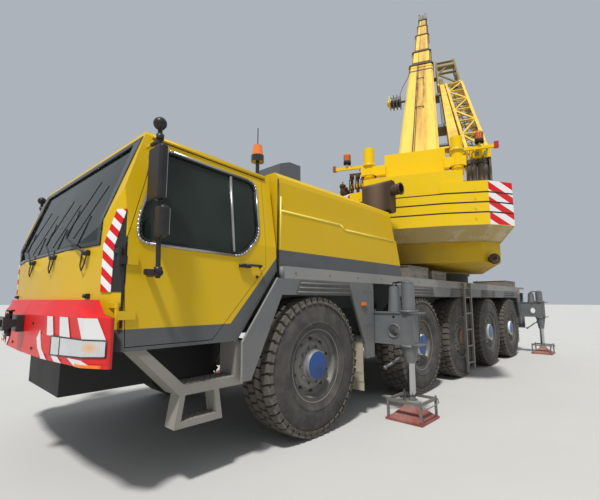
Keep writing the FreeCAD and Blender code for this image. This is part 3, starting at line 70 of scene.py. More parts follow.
class Form:
    # A mesh that grows from simple worked shapes; paint is the material index of the next ones
    def __init__(self, within=None):
        self.mesh = bmesh.new()
        self.within = within or Matrix.Identity(4)
        self.paint = 0

    def patch(self, points, faces, smooth=False):
        verts = [self.mesh.verts.new(self.within @ Vector(p)) for p in points]
        made = [self.mesh.faces.new([verts[i] for i in face]) for face in faces]
        for f in made:
            f.material_index = self.paint
            f.smooth = smooth
        return made

    def box(self, low, high, bevel=0.0, turn=None):
        mid = (Vector(low) + Vector(high)) / 2
        half = (Vector(high) - Vector(low)) / 2
        points = []
        for k in (-1, 1):
            for j in (-1, 1):
                for i in (-1, 1):
                    corner = Vector((i * half.x, j * half.y, k * half.z))
                    points.append(mid + (turn @ corner if turn else corner))
        faces = ((0, 2, 3, 1), (4, 5, 7, 6), (0, 1, 5, 4), (2, 6, 7, 3), (0, 4, 6, 2), (1, 3, 7, 5))
        made = self.patch(points, faces)
        if bevel:
            edges = list({e for f in made for e in f.edges})
            bmesh.ops.bevel(self.mesh, geom=edges, offset=bevel, segments=2, affect="EDGES", material=-1)

    def prism(self, outline, along):
        # outline is a closed ring of points, along the vector that it is drawn out by
        ring = [Vector(p) for p in outline]
        count = len(ring)
        faces = [tuple(range(count - 1, -1, -1)), tuple(range(count, 2 * count))]
        for i in range(count):
            j = (i + 1) % count
            faces.append((i, j, count + j, count + i))
        self.patch(ring + [p + Vector(along) for p in ring], faces)

    def rod(self, start, end, radius, sides=12):
        start, end = Vector(start), Vector(end)
        run = (end - start).normalized()
        across = run.orthogonal().normalized()
        over = run.cross(across)
        points = [centre + (across * x + over * y) * radius
                  for centre in (start, end) for x, y in around(sides)]
        faces = [(i, (i + 1) % sides, sides + (i + 1) % sides, sides + i) for i in range(sides)]
        self.patch(points, faces, smooth=sides > 6)
        self.patch(points[:sides], [tuple(range(sides - 1, -1, -1))])
        self.patch(points[sides:], [tuple(range(sides))])

    def stud(self, foot, rise, radius, sides=6):
        # A short rod from its foot, such as a bolt's head
        self.rod(foot, Vector(foot) + Vector(rise), radius, sides)

    def lathe(self, profile, centre, axis, sides=48):
        # profile holds (distance along the axis, radius) pairs
        axis = Vector(axis).normalized()
        across = axis.orthogonal().normalized()
        over = axis.cross(across)
        points = []
        for along, radius in profile:
            middle = Vector(centre) + axis * along
            points += [middle + (across * x + over * y) * radius for x, y in around(sides)]
        faces = []
        for j in range(len(profile) - 1):
            for i in range(sides):
                k = (i + 1) % sides
                faces.append((j * sides + i, j * sides + k, (j + 1) * sides + k, (j + 1) * sides + i))
        self.patch(points, faces, smooth=True)

    def band(self, centre, axis, low, high, inner, outer, sides=28):
        # A ring round a bar, between two distances along the axis and two radii
        self.lathe([(low, inner), (low, outer), (high, outer), (high, inner)], centre, axis, sides)

    def tube(self, points, radius, sides=8):
        # A bent round bar through points, with a ball of the same width hidden in each bend
        for start, end in zip(points, points[1:]):
            self.rod(start, end, radius, sides)
        for point in points[1:-1]:
            self.ball(point, radius, sides)

    def loop(self, points, radius):
        # A tube that runs back to its first point
        self.tube(points + points[:1], radius)

    def ball(self, centre, radius, sides):
        rings = max(4, sides // 2)
        angles = [math.pi * i / rings - math.pi / 2 for i in range(rings + 1)]
        self.lathe([(math.sin(a) * radius, max(math.cos(a) * radius, 1e-4)) for a in angles], centre,
                   vertical, sides)

    def piece(self, name, finishes, body, slot, replaced=()):
        bmesh.ops.remove_doubles(self.mesh, verts=self.mesh.verts, dist=1e-6)
        bmesh.ops.recalc_face_normals(self.mesh, faces=self.mesh.faces)
        made = self.placed(name, [paints[finish] for finish in finishes])
        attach(made, body)
        if replaced:
            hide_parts(*replaced)

    def placed(self, name, materials):
        # The mesh as a new object of the scene
        data = bpy.data.meshes.new(name)
        self.mesh.to_mesh(data)
        self.mesh.free()
        for material in materials:
            data.materials.append(material)
        made = bpy.data.objects.new(name, data)
        bpy.context.scene.collection.objects.link(made)
        return made


def newGroup(name, inputs, outputs):
    group = bpy.data.node_groups.new(name, "ShaderNodeTree")
    for label, kind, value in inputs:
        socket = group.interface.new_socket(label, in_out="INPUT", socket_type=kind)
        socket.default_value = value
    for label, kind in outputs:
        group.interface.new_socket(label, in_out="OUTPUT", socket_type=kind)
    return group, group.nodes.new("NodeGroupInput"), group.nodes.new("NodeGroupOutput")


def mathNode(tree, operation, first, second=None, clamp=False):
    node = tree.nodes.new("ShaderNodeMath")
    node.operation = operation
    node.use_clamp = clamp
    for index, value in enumerate((first, second)):
        if value is None:
            continue
        if isinstance(value, (int, float)):
            node.inputs[index].default_value = value
        else:
            tree.links.new(value, node.inputs[index])
    return node.outputs[0]


def mixColor(tree, factor, first, second):
    node = tree.nodes.new("ShaderNodeMix")
    node.data_type = "RGBA"
    for index, value in ((0, factor), (6, first), (7, second)):
        if isinstance(value, (int, float)):
            node.inputs[index].default_value = value
        elif isinstance(value, (tuple, list)):
            node.inputs[index].default_value = (*value, 1) if len(value) == 3 else value
        else:
            tree.links.new(value, node.inputs[index])
    return node.outputs[2]


def stepMask(tree, value, low, high):
    # 0 below low, 1 above high
    node = tree.nodes.new("ShaderNodeMapRange")
    node.inputs["From Min"].default_value = low
    node.inputs["From Max"].default_value = high
    tree.links.new(value, node.inputs["Value"])
    return node.outputs[0]


def noise(tree, vector, scale, detail=4.0, rough=0.55):
    node = tree.nodes.new("ShaderNodeTexNoise")
    node.inputs["Scale"].default_value = scale
    node.inputs["Detail"].default_value = detail
    node.inputs["Roughness"].default_value = rough
    tree.links.new(vector, node.inputs["Vector"])
    return node.outputs["Fac"]


def objectPlace(tree, within=None):
    # Object coordinates, turned into a slewed or raised frame where one is given
    coordinates = tree.nodes.new("ShaderNodeTexCoord").outputs["Object"]
    if within is None:
        return coordinates
    back = within.inverted()
    mapping = tree.nodes.new("ShaderNodeMapping")
    mapping.inputs["Location"].default_value = back.to_translation()
    mapping.inputs["Rotation"].default_value = back.to_euler("XYZ")
    tree.links.new(coordinates, mapping.inputs["Vector"])
    return mapping.outputs[0]


def axes(tree, vector):
    node = tree.nodes.new("ShaderNodeSeparateXYZ")
    tree.links.new(vector, node.inputs[0])
    return node.outputs


def buildDust():
    # Dust that lies thicker low down and on upward faces
    group, given, out = newGroup("settledDust", [
        ("Color", "NodeSocketColor", (1, 1, 1, 1)), ("Place", "NodeSocketVector", (0, 0, 0)),
        ("Amount", "NodeSocketFloat", 0.4), ("Low Height", "NodeSocketFloat", 0.3),
        ("High Height", "NodeSocketFloat", 2.2)],
        [("Color", "NodeSocketColor"), ("Mask", "NodeSocketFloat")])
    place = given.outputs["Place"]
    height = axes(group, place)[2]
    fade = group.nodes.new("ShaderNodeMapRange")
    group.links.new(height, fade.inputs["Value"])
    group.links.new(given.outputs["Low Height"], fade.inputs["From Min"])
    group.links.new(given.outputs["High Height"], fade.inputs["From Max"])
    fade.inputs["To Min"].default_value = 1.0
    fade.inputs["To Max"].default_value = 0.25
    cloud = stepMask(group, noise(group, place, 3.1, 6), 0.35, 0.75)
    fine = stepMask(group, noise(group, place, 34.0, 3), 0.3, 0.8)
    mask = mathNode(group, "MULTIPLY", mathNode(group, "ADD", mathNode(group, "MULTIPLY", cloud, 0.7),
                                               mathNode(group, "MULTIPLY", fine, 0.35)), fade.outputs[0])
    mask = mathNode(group, "MULTIPLY", mask, given.outputs["Amount"], clamp=True)
    group.links.new(mixColor(group, mask, given.outputs["Color"], (0.42, 0.37, 0.29)), out.inputs["Color"])
    group.links.new(mask, out.inputs["Mask"])
    return group


def buildWear():
    # Small chips and long scratches that show a darker undercoat
    group, given, out = newGroup("paintWear", [
        ("Color", "NodeSocketColor", (1, 1, 1, 1)), ("Place", "NodeSocketVector", (0, 0, 0)),
        ("Undercoat", "NodeSocketColor", (0.1, 0.07, 0.05, 1)), ("Amount", "NodeSocketFloat", 0.5)],
        [("Color", "NodeSocketColor"), ("Mask", "NodeSocketFloat")])
    place = given.outputs["Place"]
    chips = stepMask(group, noise(group, place, 26.0, 7, 0.7), 0.66, 0.7)
    area = stepMask(group, noise(group, place, 1.7, 3), 0.5, 0.68)
    mask = mathNode(group, "MULTIPLY", mathNode(group, "MULTIPLY", chips, area), given.outputs["Amount"],
                    clamp=True)
    group.links.new(mixColor(group, mask, given.outputs["Color"], given.outputs["Undercoat"]),
                    out.inputs["Color"])
    group.links.new(mask, out.inputs["Mask"])
    return group


def buildStripes():
    # Slanted bands: 1 on a band and 0 between, from two coordinates that lie in the panel
    group, given, out = newGroup("warningBands", [
        ("Across", "NodeSocketFloat", 0.0), ("Up", "NodeSocketFloat", 0.0), ("Slope", "NodeSocketFloat", 1.0),
        ("Pitch", "NodeSocketFloat", 0.2), ("Offset", "NodeSocketFloat", 0.0)], [("Mask", "NodeSocketFloat")])
    slanted = mathNode(group, "ADD", given.outputs["Up"],
                       mathNode(group, "MULTIPLY", given.outputs["Across"], given.outputs["Slope"]))
    turns = mathNode(group, "DIVIDE", mathNode(group, "ADD", slanted, given.outputs["Offset"]),
                     given.outputs["Pitch"])
    share = mathNode(group, "FRACT", turns)
    rise = stepMask(group, share, 0.495, 0.505)
    group.links.new(rise, out.inputs["Mask"])
    return group


dustGroup = buildDust()
wearGroup = buildWear()
stripeGroup = buildStripes()


class Finish:
    # One material: a Principled shader fed by colour masks over the object's own coordinates
    def __init__(self, name, rough=0.5, metal=0.0, within=None, **fixed):
        self.material = bpy.data.materials.new(name)
        self.material.use_nodes = True
        self.tree = self.material.node_tree
        self.shader = self.tree.nodes["Principled BSDF"]
        self.shader.inputs["Roughness"].default_value = rough
        self.shader.inputs["Metallic"].default_value = metal
        for label, value in fixed.items():
            self.shader.inputs[label.replace("_", " ")].default_value = value
        self.place = objectPlace(self.tree)
        self.local = objectPlace(self.tree, within) if within is not None else self.place
        self.x, self.y, self.z = axes(self.tree, self.local)
        self.color = None

    def base(self, color, spread=0.06, scale=1.3):
        # Base colour with a faint unevenness
        darker = tuple(c * (1 - spread) for c in color)
        lighter = tuple(min(1, c * (1 + spread)) for c in color)
        self.color = mixColor(self.tree, noise(self.tree, self.place, scale, 5), darker, lighter)
        return self

    def over(self, mask, color, amount=1.0):
        # A colour where the mask is 1, or that share of it
        self.color = mixColor(self.tree, self.times(mask, amount) if amount != 1 else mask, self.color, color)
        return self

    def times(self, first, *others):
        for other in others:
            first = mathNode(self.tree, "MULTIPLY", first, other)
        return first

    def most(self, first, *others):
        for other in others:
            first = mathNode(self.tree, "MAXIMUM", first, other)
        return first

    def absolute(self, value):
        return mathNode(self.tree, "ABSOLUTE", value)

    def step(self, value, low, high):
        return stepMask(self.tree, value, low, high)

    def cloud(self, low, high, scale, detail, rough=0.55, at=None):
        # Patches of noise, 1 above high
        return self.step(noise(self.tree, self.place if at is None else at, scale, detail, rough), low, high)

    def group(self, group, values):
        node = self.tree.nodes.new("ShaderNodeGroup")
        node.node_tree = group
        for label, value in values.items():
            if isinstance(value, (int, float)):
                node.inputs[label].default_value = value
            elif isinstance(value, tuple):
                node.inputs[label].default_value = (*value, 1)
            else:
                self.tree.links.new(value, node.inputs[label])
        return node

    def worn(self, amount=0.5, undercoat=(0.12, 0.08, 0.06)):
        node = self.group(wearGroup, {"Color": self.color, "Place": self.place, "Amount": amount,
                                      "Undercoat": undercoat})
        self.color = node.outputs["Color"]
        return self

    def dusty(self, amount=0.4, low=0.3, high=2.2):
        node = self.group(dustGroup, {"Color": self.color, "Place": self.place, "Amount": amount,
                                      "Low Height": low, "High Height": high})
        self.color = node.outputs["Color"]
        base = self.shader.inputs["Roughness"].default_value
        rough = mathNode(self.tree, "ADD", self.times(node.outputs["Mask"], 0.35), base, clamp=True)
        self.tree.links.new(rough, self.shader.inputs["Roughness"])
        return self

    def ribs(self, scale, distortion=0.0):
        # Upright ribs across the lens
        node = self.tree.nodes.new("ShaderNodeTexWave")
        node.bands_direction = "Y"
        node.inputs["Scale"].default_value = scale
        node.inputs["Distortion"].default_value = distortion
        self.tree.links.new(self.place, node.inputs["Vector"])
        return node.outputs["Fac"]

    def bump(self, height, strength, distance):
        node = self.tree.nodes.new("ShaderNodeBump")
        node.inputs["Strength"].default_value = strength
        node.inputs["Distance"].default_value = distance
        self.tree.links.new(height, node.inputs["Height"])
        self.tree.links.new(node.outputs[0], self.shader.inputs["Normal"])
        return self

    def done(self):
        if self.color is not None:
            self.tree.links.new(self.color, self.shader.inputs["Base Color"])
        return self.material

    def inside(self, value, low, high, soft=0.004):
        # 1 where value lies between low and high
        return self.times(self.step(value, low - soft, low + soft),
                          self.step(value, high + soft, high - soft))


# yellow is the carrier's paint, set darker than upperYellow partly as painted shade for its shaded sides
yellow = (0.66, 0.42, 0.0)
upperYellow = (0.82, 0.54, 0.0)
boomYellow = (0.82, 0.56, 0.09)
bandGrey = (0.082, 0.088, 0.094)
darkGrey = (0.085, 0.09, 0.1)
midGrey = (0.13, 0.14, 0.15)
railGrey = (0.22, 0.22, 0.215)
signalRed = (0.66, 0.006, 0.01)
stripeWhite = (0.8, 0.8, 0.78)
nearBlack = (0.018, 0.018, 0.02)


def cabPaint():
    # Yellow above the sill line, dark grey below it and along the slanted rear edge
    f = Finish("cabPaint", rough=0.36, Specular_IOR_Level=0.25, Coat_Weight=0.08)
    f.base(yellow, 0.04)
    low = f.step(f.z, 1.193, 1.187)
    slant = mathNode(f.tree, "ADD", f.times(f.x, 1.1343), f.z)
    rear = f.times(f.step(slant, 9.201, 9.191), f.step(f.z, 1.855, 1.845))
    f.over(f.most(low, rear), bandGrey)
    side = f.absolute(f.y)
    arm = f.step(side, 1.515, 1.52)
    clamps = f.times(f.step(side, 1.452, 1.456), f.most(f.inside(f.z, 1.5, 1.6), f.step(f.z, 1.85, 1.86)))
    handle = f.times(f.step(side, 1.447, 1.45), f.inside(f.x, 6.8, 7.05))
    knuckle = f.times(f.inside(f.z, 1.5, 1.8), f.step(f.x, 7.955, 7.96), f.step(side, 1.334, 1.336))
    arm = f.most(arm, knuckle)
    f.over(f.most(arm, clamps, handle), nearBlack)
    return f.worn(0.25).dusty(0.12, 0.9, 2.4).done()


def coverPaint():
    f = Finish("coverPaint", rough=0.38, Specular_IOR_Level=0.25, Coat_Weight=0.08)
    f.base(yellow, 0.05)
    f.over(f.step(f.z, 1.883, 1.877), bandGrey)
    return f.worn(0.2).dusty(0.1, 1.6, 2.9).done()


def plainPaint(name, color, rough=0.45, wear=0.4, dust=0.4, low=0.2, high=2.2):
    return Finish(name, rough=rough).base(color).worn(wear).dusty(dust, low, high).done()


def deckPaint():
    # Light rail along the edge, darker deck with brown dust
    f = Finish("deckPaint", rough=0.5)
    f.base((0.17, 0.15, 0.13), 0.15)
    side = f.absolute(f.y)
    edge = f.times(f.step(side, 1.438, 1.442), f.step(f.z, 1.724, 1.722))
    f.over(edge, railGrey)
    return f.worn(0.4).dusty(0.45, 1.2, 2.4).done()


def bumperPaint():
    f = Finish("bumperPaint", rough=0.35, Specular_IOR_Level=0.25, Coat_Weight=0.08)
    f.base(signalRed, 0.06)
    fade = f.cloud(0.5, 0.8, 3.4, 5)
    f.over(fade, (0.72, 0.08, 0.06), 0.25)
    f.over(f.step(f.x, 8.055, 8.045), (0.3, 0.01, 0.01))
    hitch = f.times(f.step(f.x, 8.243, 8.247), f.step(f.absolute(f.y), 0.13, 0.12))
    f.over(hitch, (0.03, 0.028, 0.026))
    return f.worn(0.35).dusty(0.1, 0.7, 1.6).done()


def counterweightPaint():
    # Yellow slabs, dark gaps, striped corner facets and a dirty pale underside
    f = Finish("counterweightPaint", rough=0.4, within=slewFrame, Specular_IOR_Level=0.25)
    f.base(upperYellow, 0.07, 0.9)
    side = f.absolute(f.y)
    facet = f.times(f.step(side, 1.09, 1.1), f.step(f.x, -3.28, -3.3))
    tall = f.inside(f.z, 2.545, 3.24)
    bands = f.group(stripeGroup, {"Across": side, "Up": f.z, "Slope": 0.62, "Pitch": 0.24, "Offset": 0.1745})
    f.over(f.times(facet, tall), stripeWhite)
    f.over(f.times(bands.outputs["Mask"], facet, tall), signalRed)
    for level in (2.742, 2.902, 3.06):
        f.over(f.inside(f.z, level - 0.016, level + 0.008, 0.002), nearBlack)
    normal = f.tree.nodes.new("ShaderNodeNewGeometry").outputs["Normal"]
    down = f.step(axes(f.tree, normal)[2], -0.25, -0.4)
    f.over(down, (0.36, 0.28, 0.15), 0.85)
    rust = f.cloud(0.6, 0.68, 4.2, 8, 0.7)
    f.over(f.times(rust, down), (0.07, 0.04, 0.02), 0.8)
    pale = f.times(f.cloud(0.5, 0.62, 2.6, 7, 0.7), down)
    f.over(pale, (0.6, 0.52, 0.38), 0.5)
    return f.worn(0.5).dusty(0.1, 2.0, 4.0).done()


def boomPaint():
    # Faded yellow with long brown grease streaks on top, dark collars, edges and rope lanes
    f = Finish("boomPaint", rough=0.45, within=boomFrame, Specular_IOR_Level=0.25)
    f.base(boomYellow, 0.08, 0.7)
    stretch = f.tree.nodes.new("ShaderNodeMapping")
    stretch.inputs["Scale"].default_value = (0.35, 4.0, 4.0)
    f.tree.links.new(f.local, stretch.inputs["Vector"])
    streak = f.cloud(0.5, 0.78, 2.4, 6, 0.62, at=stretch.outputs[0])
    f.over(streak, (0.3, 0.17, 0.05), 0.5)
    top = f.step(f.z, 0.42, 0.47)
    strip = f.times(f.inside(f.y, -0.2, 0.11, 0.03), top, f.step(f.x, 0.5, 2.5))
    brown = f.cloud(0.3, 0.56, 1.7, 5, 0.6, at=stretch.outputs[0])
    f.over(f.times(strip, brown), (0.42, 0.17, 0.04), 0.62)
    black = f.cloud(0.4, 0.55, 3.6, 7, 0.7, at=stretch.outputs[0])
    lanes = f.most(f.inside(f.y, 0.08, 0.15, 0.03), f.inside(f.y, -0.13, -0.08, 0.02))
    smudge = f.times(lanes, black, top, f.inside(f.x, 5.2, 9.0, 0.8))
    f.over(smudge, (0.08, 0.045, 0.045), 0.85)
    f.over(f.inside(f.x, 9.1, 9.35), (0.05, 0.03, 0.02), 0.85)
    side = f.absolute(f.y)
    for row in sectionTable:
        start, end, half = row["paintFrom"], row["paintTo"], row["rimHalf"]
        crown = boomAxisV + row["deep"] / 2
        along = f.inside(f.x, start, end)
        f.over(f.inside(f.x, end - 0.17, end + 0.75, 0.01), (0.02, 0.015, 0.012), 0.9)
        edge = f.times(along, f.step(side, half - 0.075, half - 0.055),
                       f.step(f.z, crown - 0.05, crown - 0.03))
        f.over(edge, (0.04, 0.028, 0.018), 0.85)
        lane = f.times(along, f.inside(f.y, 0.25 * half, 0.25 * half + 0.025, 0.008))
        f.over(lane, (0.06, 0.035, 0.03), 0.75)
    return f.worn(0.5).done()


def jibPaint():
    # Faded yellow chords, greasy towards the hinged upper frame
    f = Finish("jibPaint", rough=0.45, within=boomFrame, Specular_IOR_Level=0.25)
    f.base(boomYellow, 0.1, 0.9)
    grimeAndShade = f.cloud(0.44, 0.62, 3.1, 6, 0.65, at=f.local)
    f.over(grimeAndShade, (0.2, 0.12, 0.03), 0.35)
    f.over(f.step(f.x, 7.15, 7.3), (0.07, 0.06, 0.045), 0.78)
    return f.worn(0.8).done()


def bracingPaint():
    f = Finish("bracingPaint", rough=0.5, within=boomFrame)
    f.base((0.42, 0.27, 0.04), 0.3, 5)
    f.over(f.cloud(0.45, 0.55, 4.0, 4, at=f.local), (0.06, 0.05, 0.035))
    return f.worn(0.8).done()


def turntablePaint():
    f = Finish("turntablePaint", rough=0.42, within=slewFrame, Specular_IOR_Level=0.25)
    f.base(upperYellow, 0.08)
    # Deeper yellow below the counterweight, partly painted shade under its overhang
    f.over(f.step(f.z, 2.5, 2.4), yellow)
    f.over(f.step(f.z, 1.99, 1.98), darkGrey)
    smear = f.cloud(0.45, 0.75, 1.6, 6, 0.65)
    f.over(smear, (0.32, 0.2, 0.02), 0.45)
    # Dark olive low on the body, strongest towards +y: painted shade
    grimeAndShade = f.times(f.step(f.y, -0.7, 0.5), f.step(f.z, 2.5, 2.2))
    f.over(grimeAndShade, (0.12, 0.08, 0.012), 0.8)
    return f.worn(0.6).dusty(0.15, 1.9, 3.4).done()


def gearPaint():
    # Yellow lifting gear with its lamps, the valve stack and the valve bank, told apart by where they are
    f = Finish("gearPaint", rough=0.42, within=slewFrame, Specular_IOR_Level=0.25)
    f.base(upperYellow, 0.07)
    for across, high, low, lens in ((1.17, 3.85, 3.91, 4.12), (-1.03, 3.935, 3.995, 4.205)):
        near = f.times(f.inside(f.y, across - 0.075, across + 0.075), f.step(f.x, -3.3, -3.32))
        f.over(f.times(near, f.step(f.z, high - 0.003, high)), nearBlack)
        f.over(f.times(near, f.inside(f.z, low, lens + 0.05, 0.002)), (0.72, 0.17, 0.03))
    f.over(f.step(f.y, 1.375, 1.38), (0.22, 0.09, 0.06))
    red = f.times(f.step(f.y, -1.236, -1.24), f.step(f.z, 3.75, 3.76))
    f.over(red, (0.42, 0.03, 0.03))
    bank = f.times(f.inside(f.y, 1.28, 1.374), f.step(f.x, -3.3, -3.28))
    stack = f.times(f.step(f.y, -0.82, -0.83), f.step(f.x, -3.3, -3.28))
    pipe = f.times(stack, f.step(f.z, 3.737, 3.733))
    f.over(f.times(f.step(f.z, 3.74, 3.735), bank), (0.055, 0.04, 0.03))
    f.over(pipe, (0.14, 0.13, 0.12))
    rust = f.cloud(0.5, 0.66, 9.0, 7, 0.7)
    f.over(f.times(f.most(bank, pipe), rust), (0.16, 0.08, 0.03), 0.7)
    return f.worn(0.45).done()


def lampPaint():
    # Beacon, headlamps and tail lamps, told apart by where they are
    f = Finish("lampPaint", rough=0.12, Coat_Weight=0.6)
    f.base((0.6, 0.61, 0.6), 0.05)
    f.over(f.ribs(26.0), (0.78, 0.79, 0.79), 0.25)
    f.over(f.step(f.z, 2.6, 2.61), nearBlack)
    f.over(f.inside(f.z, 2.89, 3.0), (0.78, 0.2, 0.03))
    f.over(f.step(f.x, -2.0, -2.01), (0.45, 0.02, 0.02))
    side = f.absolute(f.y)
    front = f.step(f.x, 7.9, 7.92)
    # Orange patch at the headlamps' outer ends: a painted reflection
    paintedReflection = f.times(f.step(side, 1.2, 1.3), front)
    f.over(paintedReflection, (0.8, 0.42, 0.16), 0.75)
    return f.done()


def jackPaint():
    # Chrome rod, grey ring and worn red pad
    f = Finish("jackPaint", rough=0.5)
    f.base((0.22, 0.03, 0.025), 0.25, 9)
    f.worn(0.9, (0.13, 0.11, 0.1)).dusty(0.55, 0.0, 0.5)
    edge = f.absolute(mathNode(f.tree, "SUBTRACT", f.absolute(f.y), 1.9))
    post = f.times(f.step(edge, 0.186, 0.188), f.step(f.z, 0.04, 0.044))
    f.over(f.most(post, f.step(f.z, 0.203, 0.206)), (0.16, 0.15, 0.135))
    rod = f.step(f.z, 0.241, 0.243)
    f.over(rod, (0.5, 0.5, 0.5))
    f.tree.links.new(rod, f.shader.inputs["Metallic"])
    rough = mathNode(f.tree, "SUBTRACT", 0.55, f.times(rod, 0.38))
    f.tree.links.new(rough, f.shader.inputs["Roughness"])
    return f.done()


def silencerPaint():
    # Heat browned silencer with a painted highlight down its middle and painted shade at its outer end, and
    # grey intake box
    f = Finish("silencerPaint", rough=0.5, metal=0.35)
    f.base((0.085, 0.055, 0.035), 0.3, 3)
    # Lighter band down the middle: painted highlight, so the box reads as a rounded drum
    f.over(f.inside(f.y, 0.98, 1.1, 0.1), (0.26, 0.19, 0.14), 0.7)
    # Darker band at the outer end: painted shade
    f.over(f.inside(f.y, 1.2, 1.31, 0.05), (0.035, 0.022, 0.015), 0.6)
    f.over(f.step(f.x, 5.4, 5.5), (0.12, 0.13, 0.15))
    return f.worn(0.5).done()


def lensPaint():
    # Ribbed clear lens with a painted orange reflection near its outer end
    f = Finish("lensPaint", rough=0.08, Coat_Weight=0.6)
    f.base((0.5, 0.51, 0.5), 0.2, 14)
    f.over(f.ribs(22.0, 1.5), (0.72, 0.73, 0.72), 0.35)
    side = f.absolute(f.y)
    # Orange patch near the lens's outer end: a painted reflection
    paintedReflection = f.times(f.inside(side, 1.31, 1.4, 0.04), f.inside(f.z, 1.05, 1.1, 0.015))
    f.over(paintedReflection, (0.75, 0.36, 0.08), 0.8)
    return f.done()


def reelPaint():
    # Grey discs, dark core and a yellow outer hub
    f = Finish("reelPaint", rough=0.5, within=boomFrame)
    f.base((0.14, 0.14, 0.14), 0.25, 6)
    f.over(f.step(f.y, 0.98, 0.985), boomYellow)
    return f.worn(0.5).done()


def framePaint():
    # Dusty grey frame, near black under the cab where no light falls
    f = Finish("framePaint", rough=0.55)
    f.base(midGrey, 0.08)
    f.worn(0.4).dusty(0.35)
    return f.over(f.step(f.x, 6.3, 6.6), (0.008, 0.008, 0.008), 0.96).done()


def stripPaint():
    # Slanted red and white bands of the corner strips
    f = Finish("stripPaint", rough=0.3)
    f.base(stripeWhite, 0.04)
    side = f.absolute(f.y)
    bands = f.group(stripeGroup, {"Across": side, "Up": f.z, "Slope": 1.1, "Pitch": 0.118, "Offset": 0.02})
    f.over(bands.outputs["Mask"], signalRed)
    return f.worn(0.2).done()


def rubber():
    f = Finish("tyreRubber", rough=0.85)
    f.base((0.045, 0.042, 0.038), 0.15, 5)
    smear = f.cloud(0.4, 0.75, 6, 7, 0.65)
    f.over(smear, (0.16, 0.14, 0.115), 0.55)
    return f.bump(noise(f.tree, f.place, 60, 3), 0.25, 0.004).done()


def treadRubber():
    f = Finish("treadRubber", rough=0.9)
    f.base((0.1, 0.088, 0.072), 0.25, 8)
    return f.bump(noise(f.tree, f.place, 80, 3), 0.3, 0.004).done()


def glassFinish():
    f = Finish("darkGlass", rough=0.04, Alpha=0.84, Specular_IOR_Level=0.35)
    f.base((0.012, 0.017, 0.014), 0.2, 0.6)
    # Paler patches over the glass: painted reflection
    pale = f.cloud(0.5, 0.7, 0.9, 2)
    f.over(pale, (0.07, 0.09, 0.07), 0.25)
    f.material.surface_render_method = "BLENDED"
    return f.done()


def simple(name, color, rough=0.5, metal=0.0, spread=0.08, scale=6):
    return Finish(name, rough=rough, metal=metal).base(color, spread, scale).done()


paints = {
    "cab": cabPaint(), "cover": coverPaint(), "deck": deckPaint(), "bumper": bumperPaint(),
    "frame": plainPaint("frameGrey", midGrey, 0.5, 0.4, 0.45),
    "panel": plainPaint("panelGrey", (0.12, 0.125, 0.13), 0.42, 0.3, 0.3),
    "axle": plainPaint("axleBlack", (0.03, 0.03, 0.03), 0.6, 0.3, 0.5),
    "weight": counterweightPaint(), "turntable": turntablePaint(), "gear": gearPaint(),
    "boom": boomPaint(), "jib": jibPaint(),
    "lamp": lampPaint(), "rubber": rubber(), "tread": treadRubber(), "glass": glassFinish(),
    "rim": plainPaint("rimGrey", (0.15, 0.145, 0.135), 0.4, 0.4, 0.5, 0.0, 1.6),
    "hubBlue": simple("hubBlue", (0.015, 0.06, 0.21), 0.4),
    "white": simple("agedWhite", (0.7, 0.69, 0.67), 0.5),
    "hubRing": simple("hubRing", (0.2, 0.2, 0.195), 0.45, 0.0, 0.2),
    "pad": jackPaint(), "strip": stripPaint(), "silencer": silencerPaint(),
    "chrome": simple("jackChrome", (0.55, 0.55, 0.55), 0.16, 1.0),
    "steel": simple("bareSteel", (0.32, 0.31, 0.29), 0.4, 0.8),
    "black": simple("blackPlastic", nearBlack, 0.45),
    "seal": simple("windowSeal", (0.01, 0.01, 0.011), 0.7),
    "trim": simple("windowTrim", (0.38, 0.38, 0.38), 0.3, 0.7),
    "amber": simple("amberLens", (0.8, 0.2, 0.02), 0.2),
    "cream": plainPaint("creamFlap", (0.45, 0.4, 0.29), 0.7, 0.2, 0.4),
    "lens": lensPaint(), "bracing": bracingPaint(),
    # Pale yellow for the cover's edges: a painted highlight
    "paintedHighlightEdge": simple("paintedHighlightEdge", (0.98, 0.78, 0.12), 0.35, 0.0, 0.1),
    "edgeGlass": simple("edgeGlass", (0.016, 0.022, 0.018), 0.08, 0.0, 0.3),
    "casing": plainPaint("casingGrey", (0.115, 0.128, 0.136), 0.45, 0.4, 0.3, 0.3, 2.0),
    "step": plainPaint("stepAlloy", (0.2, 0.19, 0.17), 0.45, 0.5, 0.5, 0.0, 1.4),
    "reel": reelPaint(), "nose": framePaint(),
    "rust": plainPaint("hubRust", (0.1, 0.045, 0.03), 0.6, 0.4, 0.4, 0.0, 1.4),
    "bluePale": simple("hubBluePale", (0.1, 0.17, 0.32), 0.5, 0.0, 0.2),
    "mirror": simple("mirrorGlass", (0.55, 0.6, 0.64), 0.03, 1.0, 0.05, 1),
    "reflector": simple("lampReflector", (0.75, 0.76, 0.77), 0.12, 0.6, 0.05, 9),
    "guard": plainPaint("guardBlack", (0.035, 0.037, 0.04), 0.6, 0.2, 0.6, 1.2, 2.0),
    "locker": plainPaint("lockerBrown", (0.15, 0.12, 0.095), 0.6, 0.5, 0.5, 1.5, 2.2),
    "rusty": simple("rustySteel", (0.075, 0.045, 0.025), 0.75, 0.3, 0.45, 14),
    "rope": simple("greasyRope", (0.05, 0.04, 0.03), 0.5, 0.5, 0.4, 30),
    "greased": simple("greasedYellow", (0.34, 0.22, 0.05), 0.5, 0.0, 0.4, 6),
    "redLens": simple("redLens", (0.5, 0.02, 0.02), 0.2),
    "seat": simple("seatCloth", (0.05, 0.05, 0.055), 0.85),
    "yellow": plainPaint("plainYellow", yellow, 0.4, 0.4, 0.2, 0.5, 3.0),
    "rail": plainPaint("railGrey", railGrey, 0.45, 0.3, 0.4),
}
print("finishes made:", len(paints))

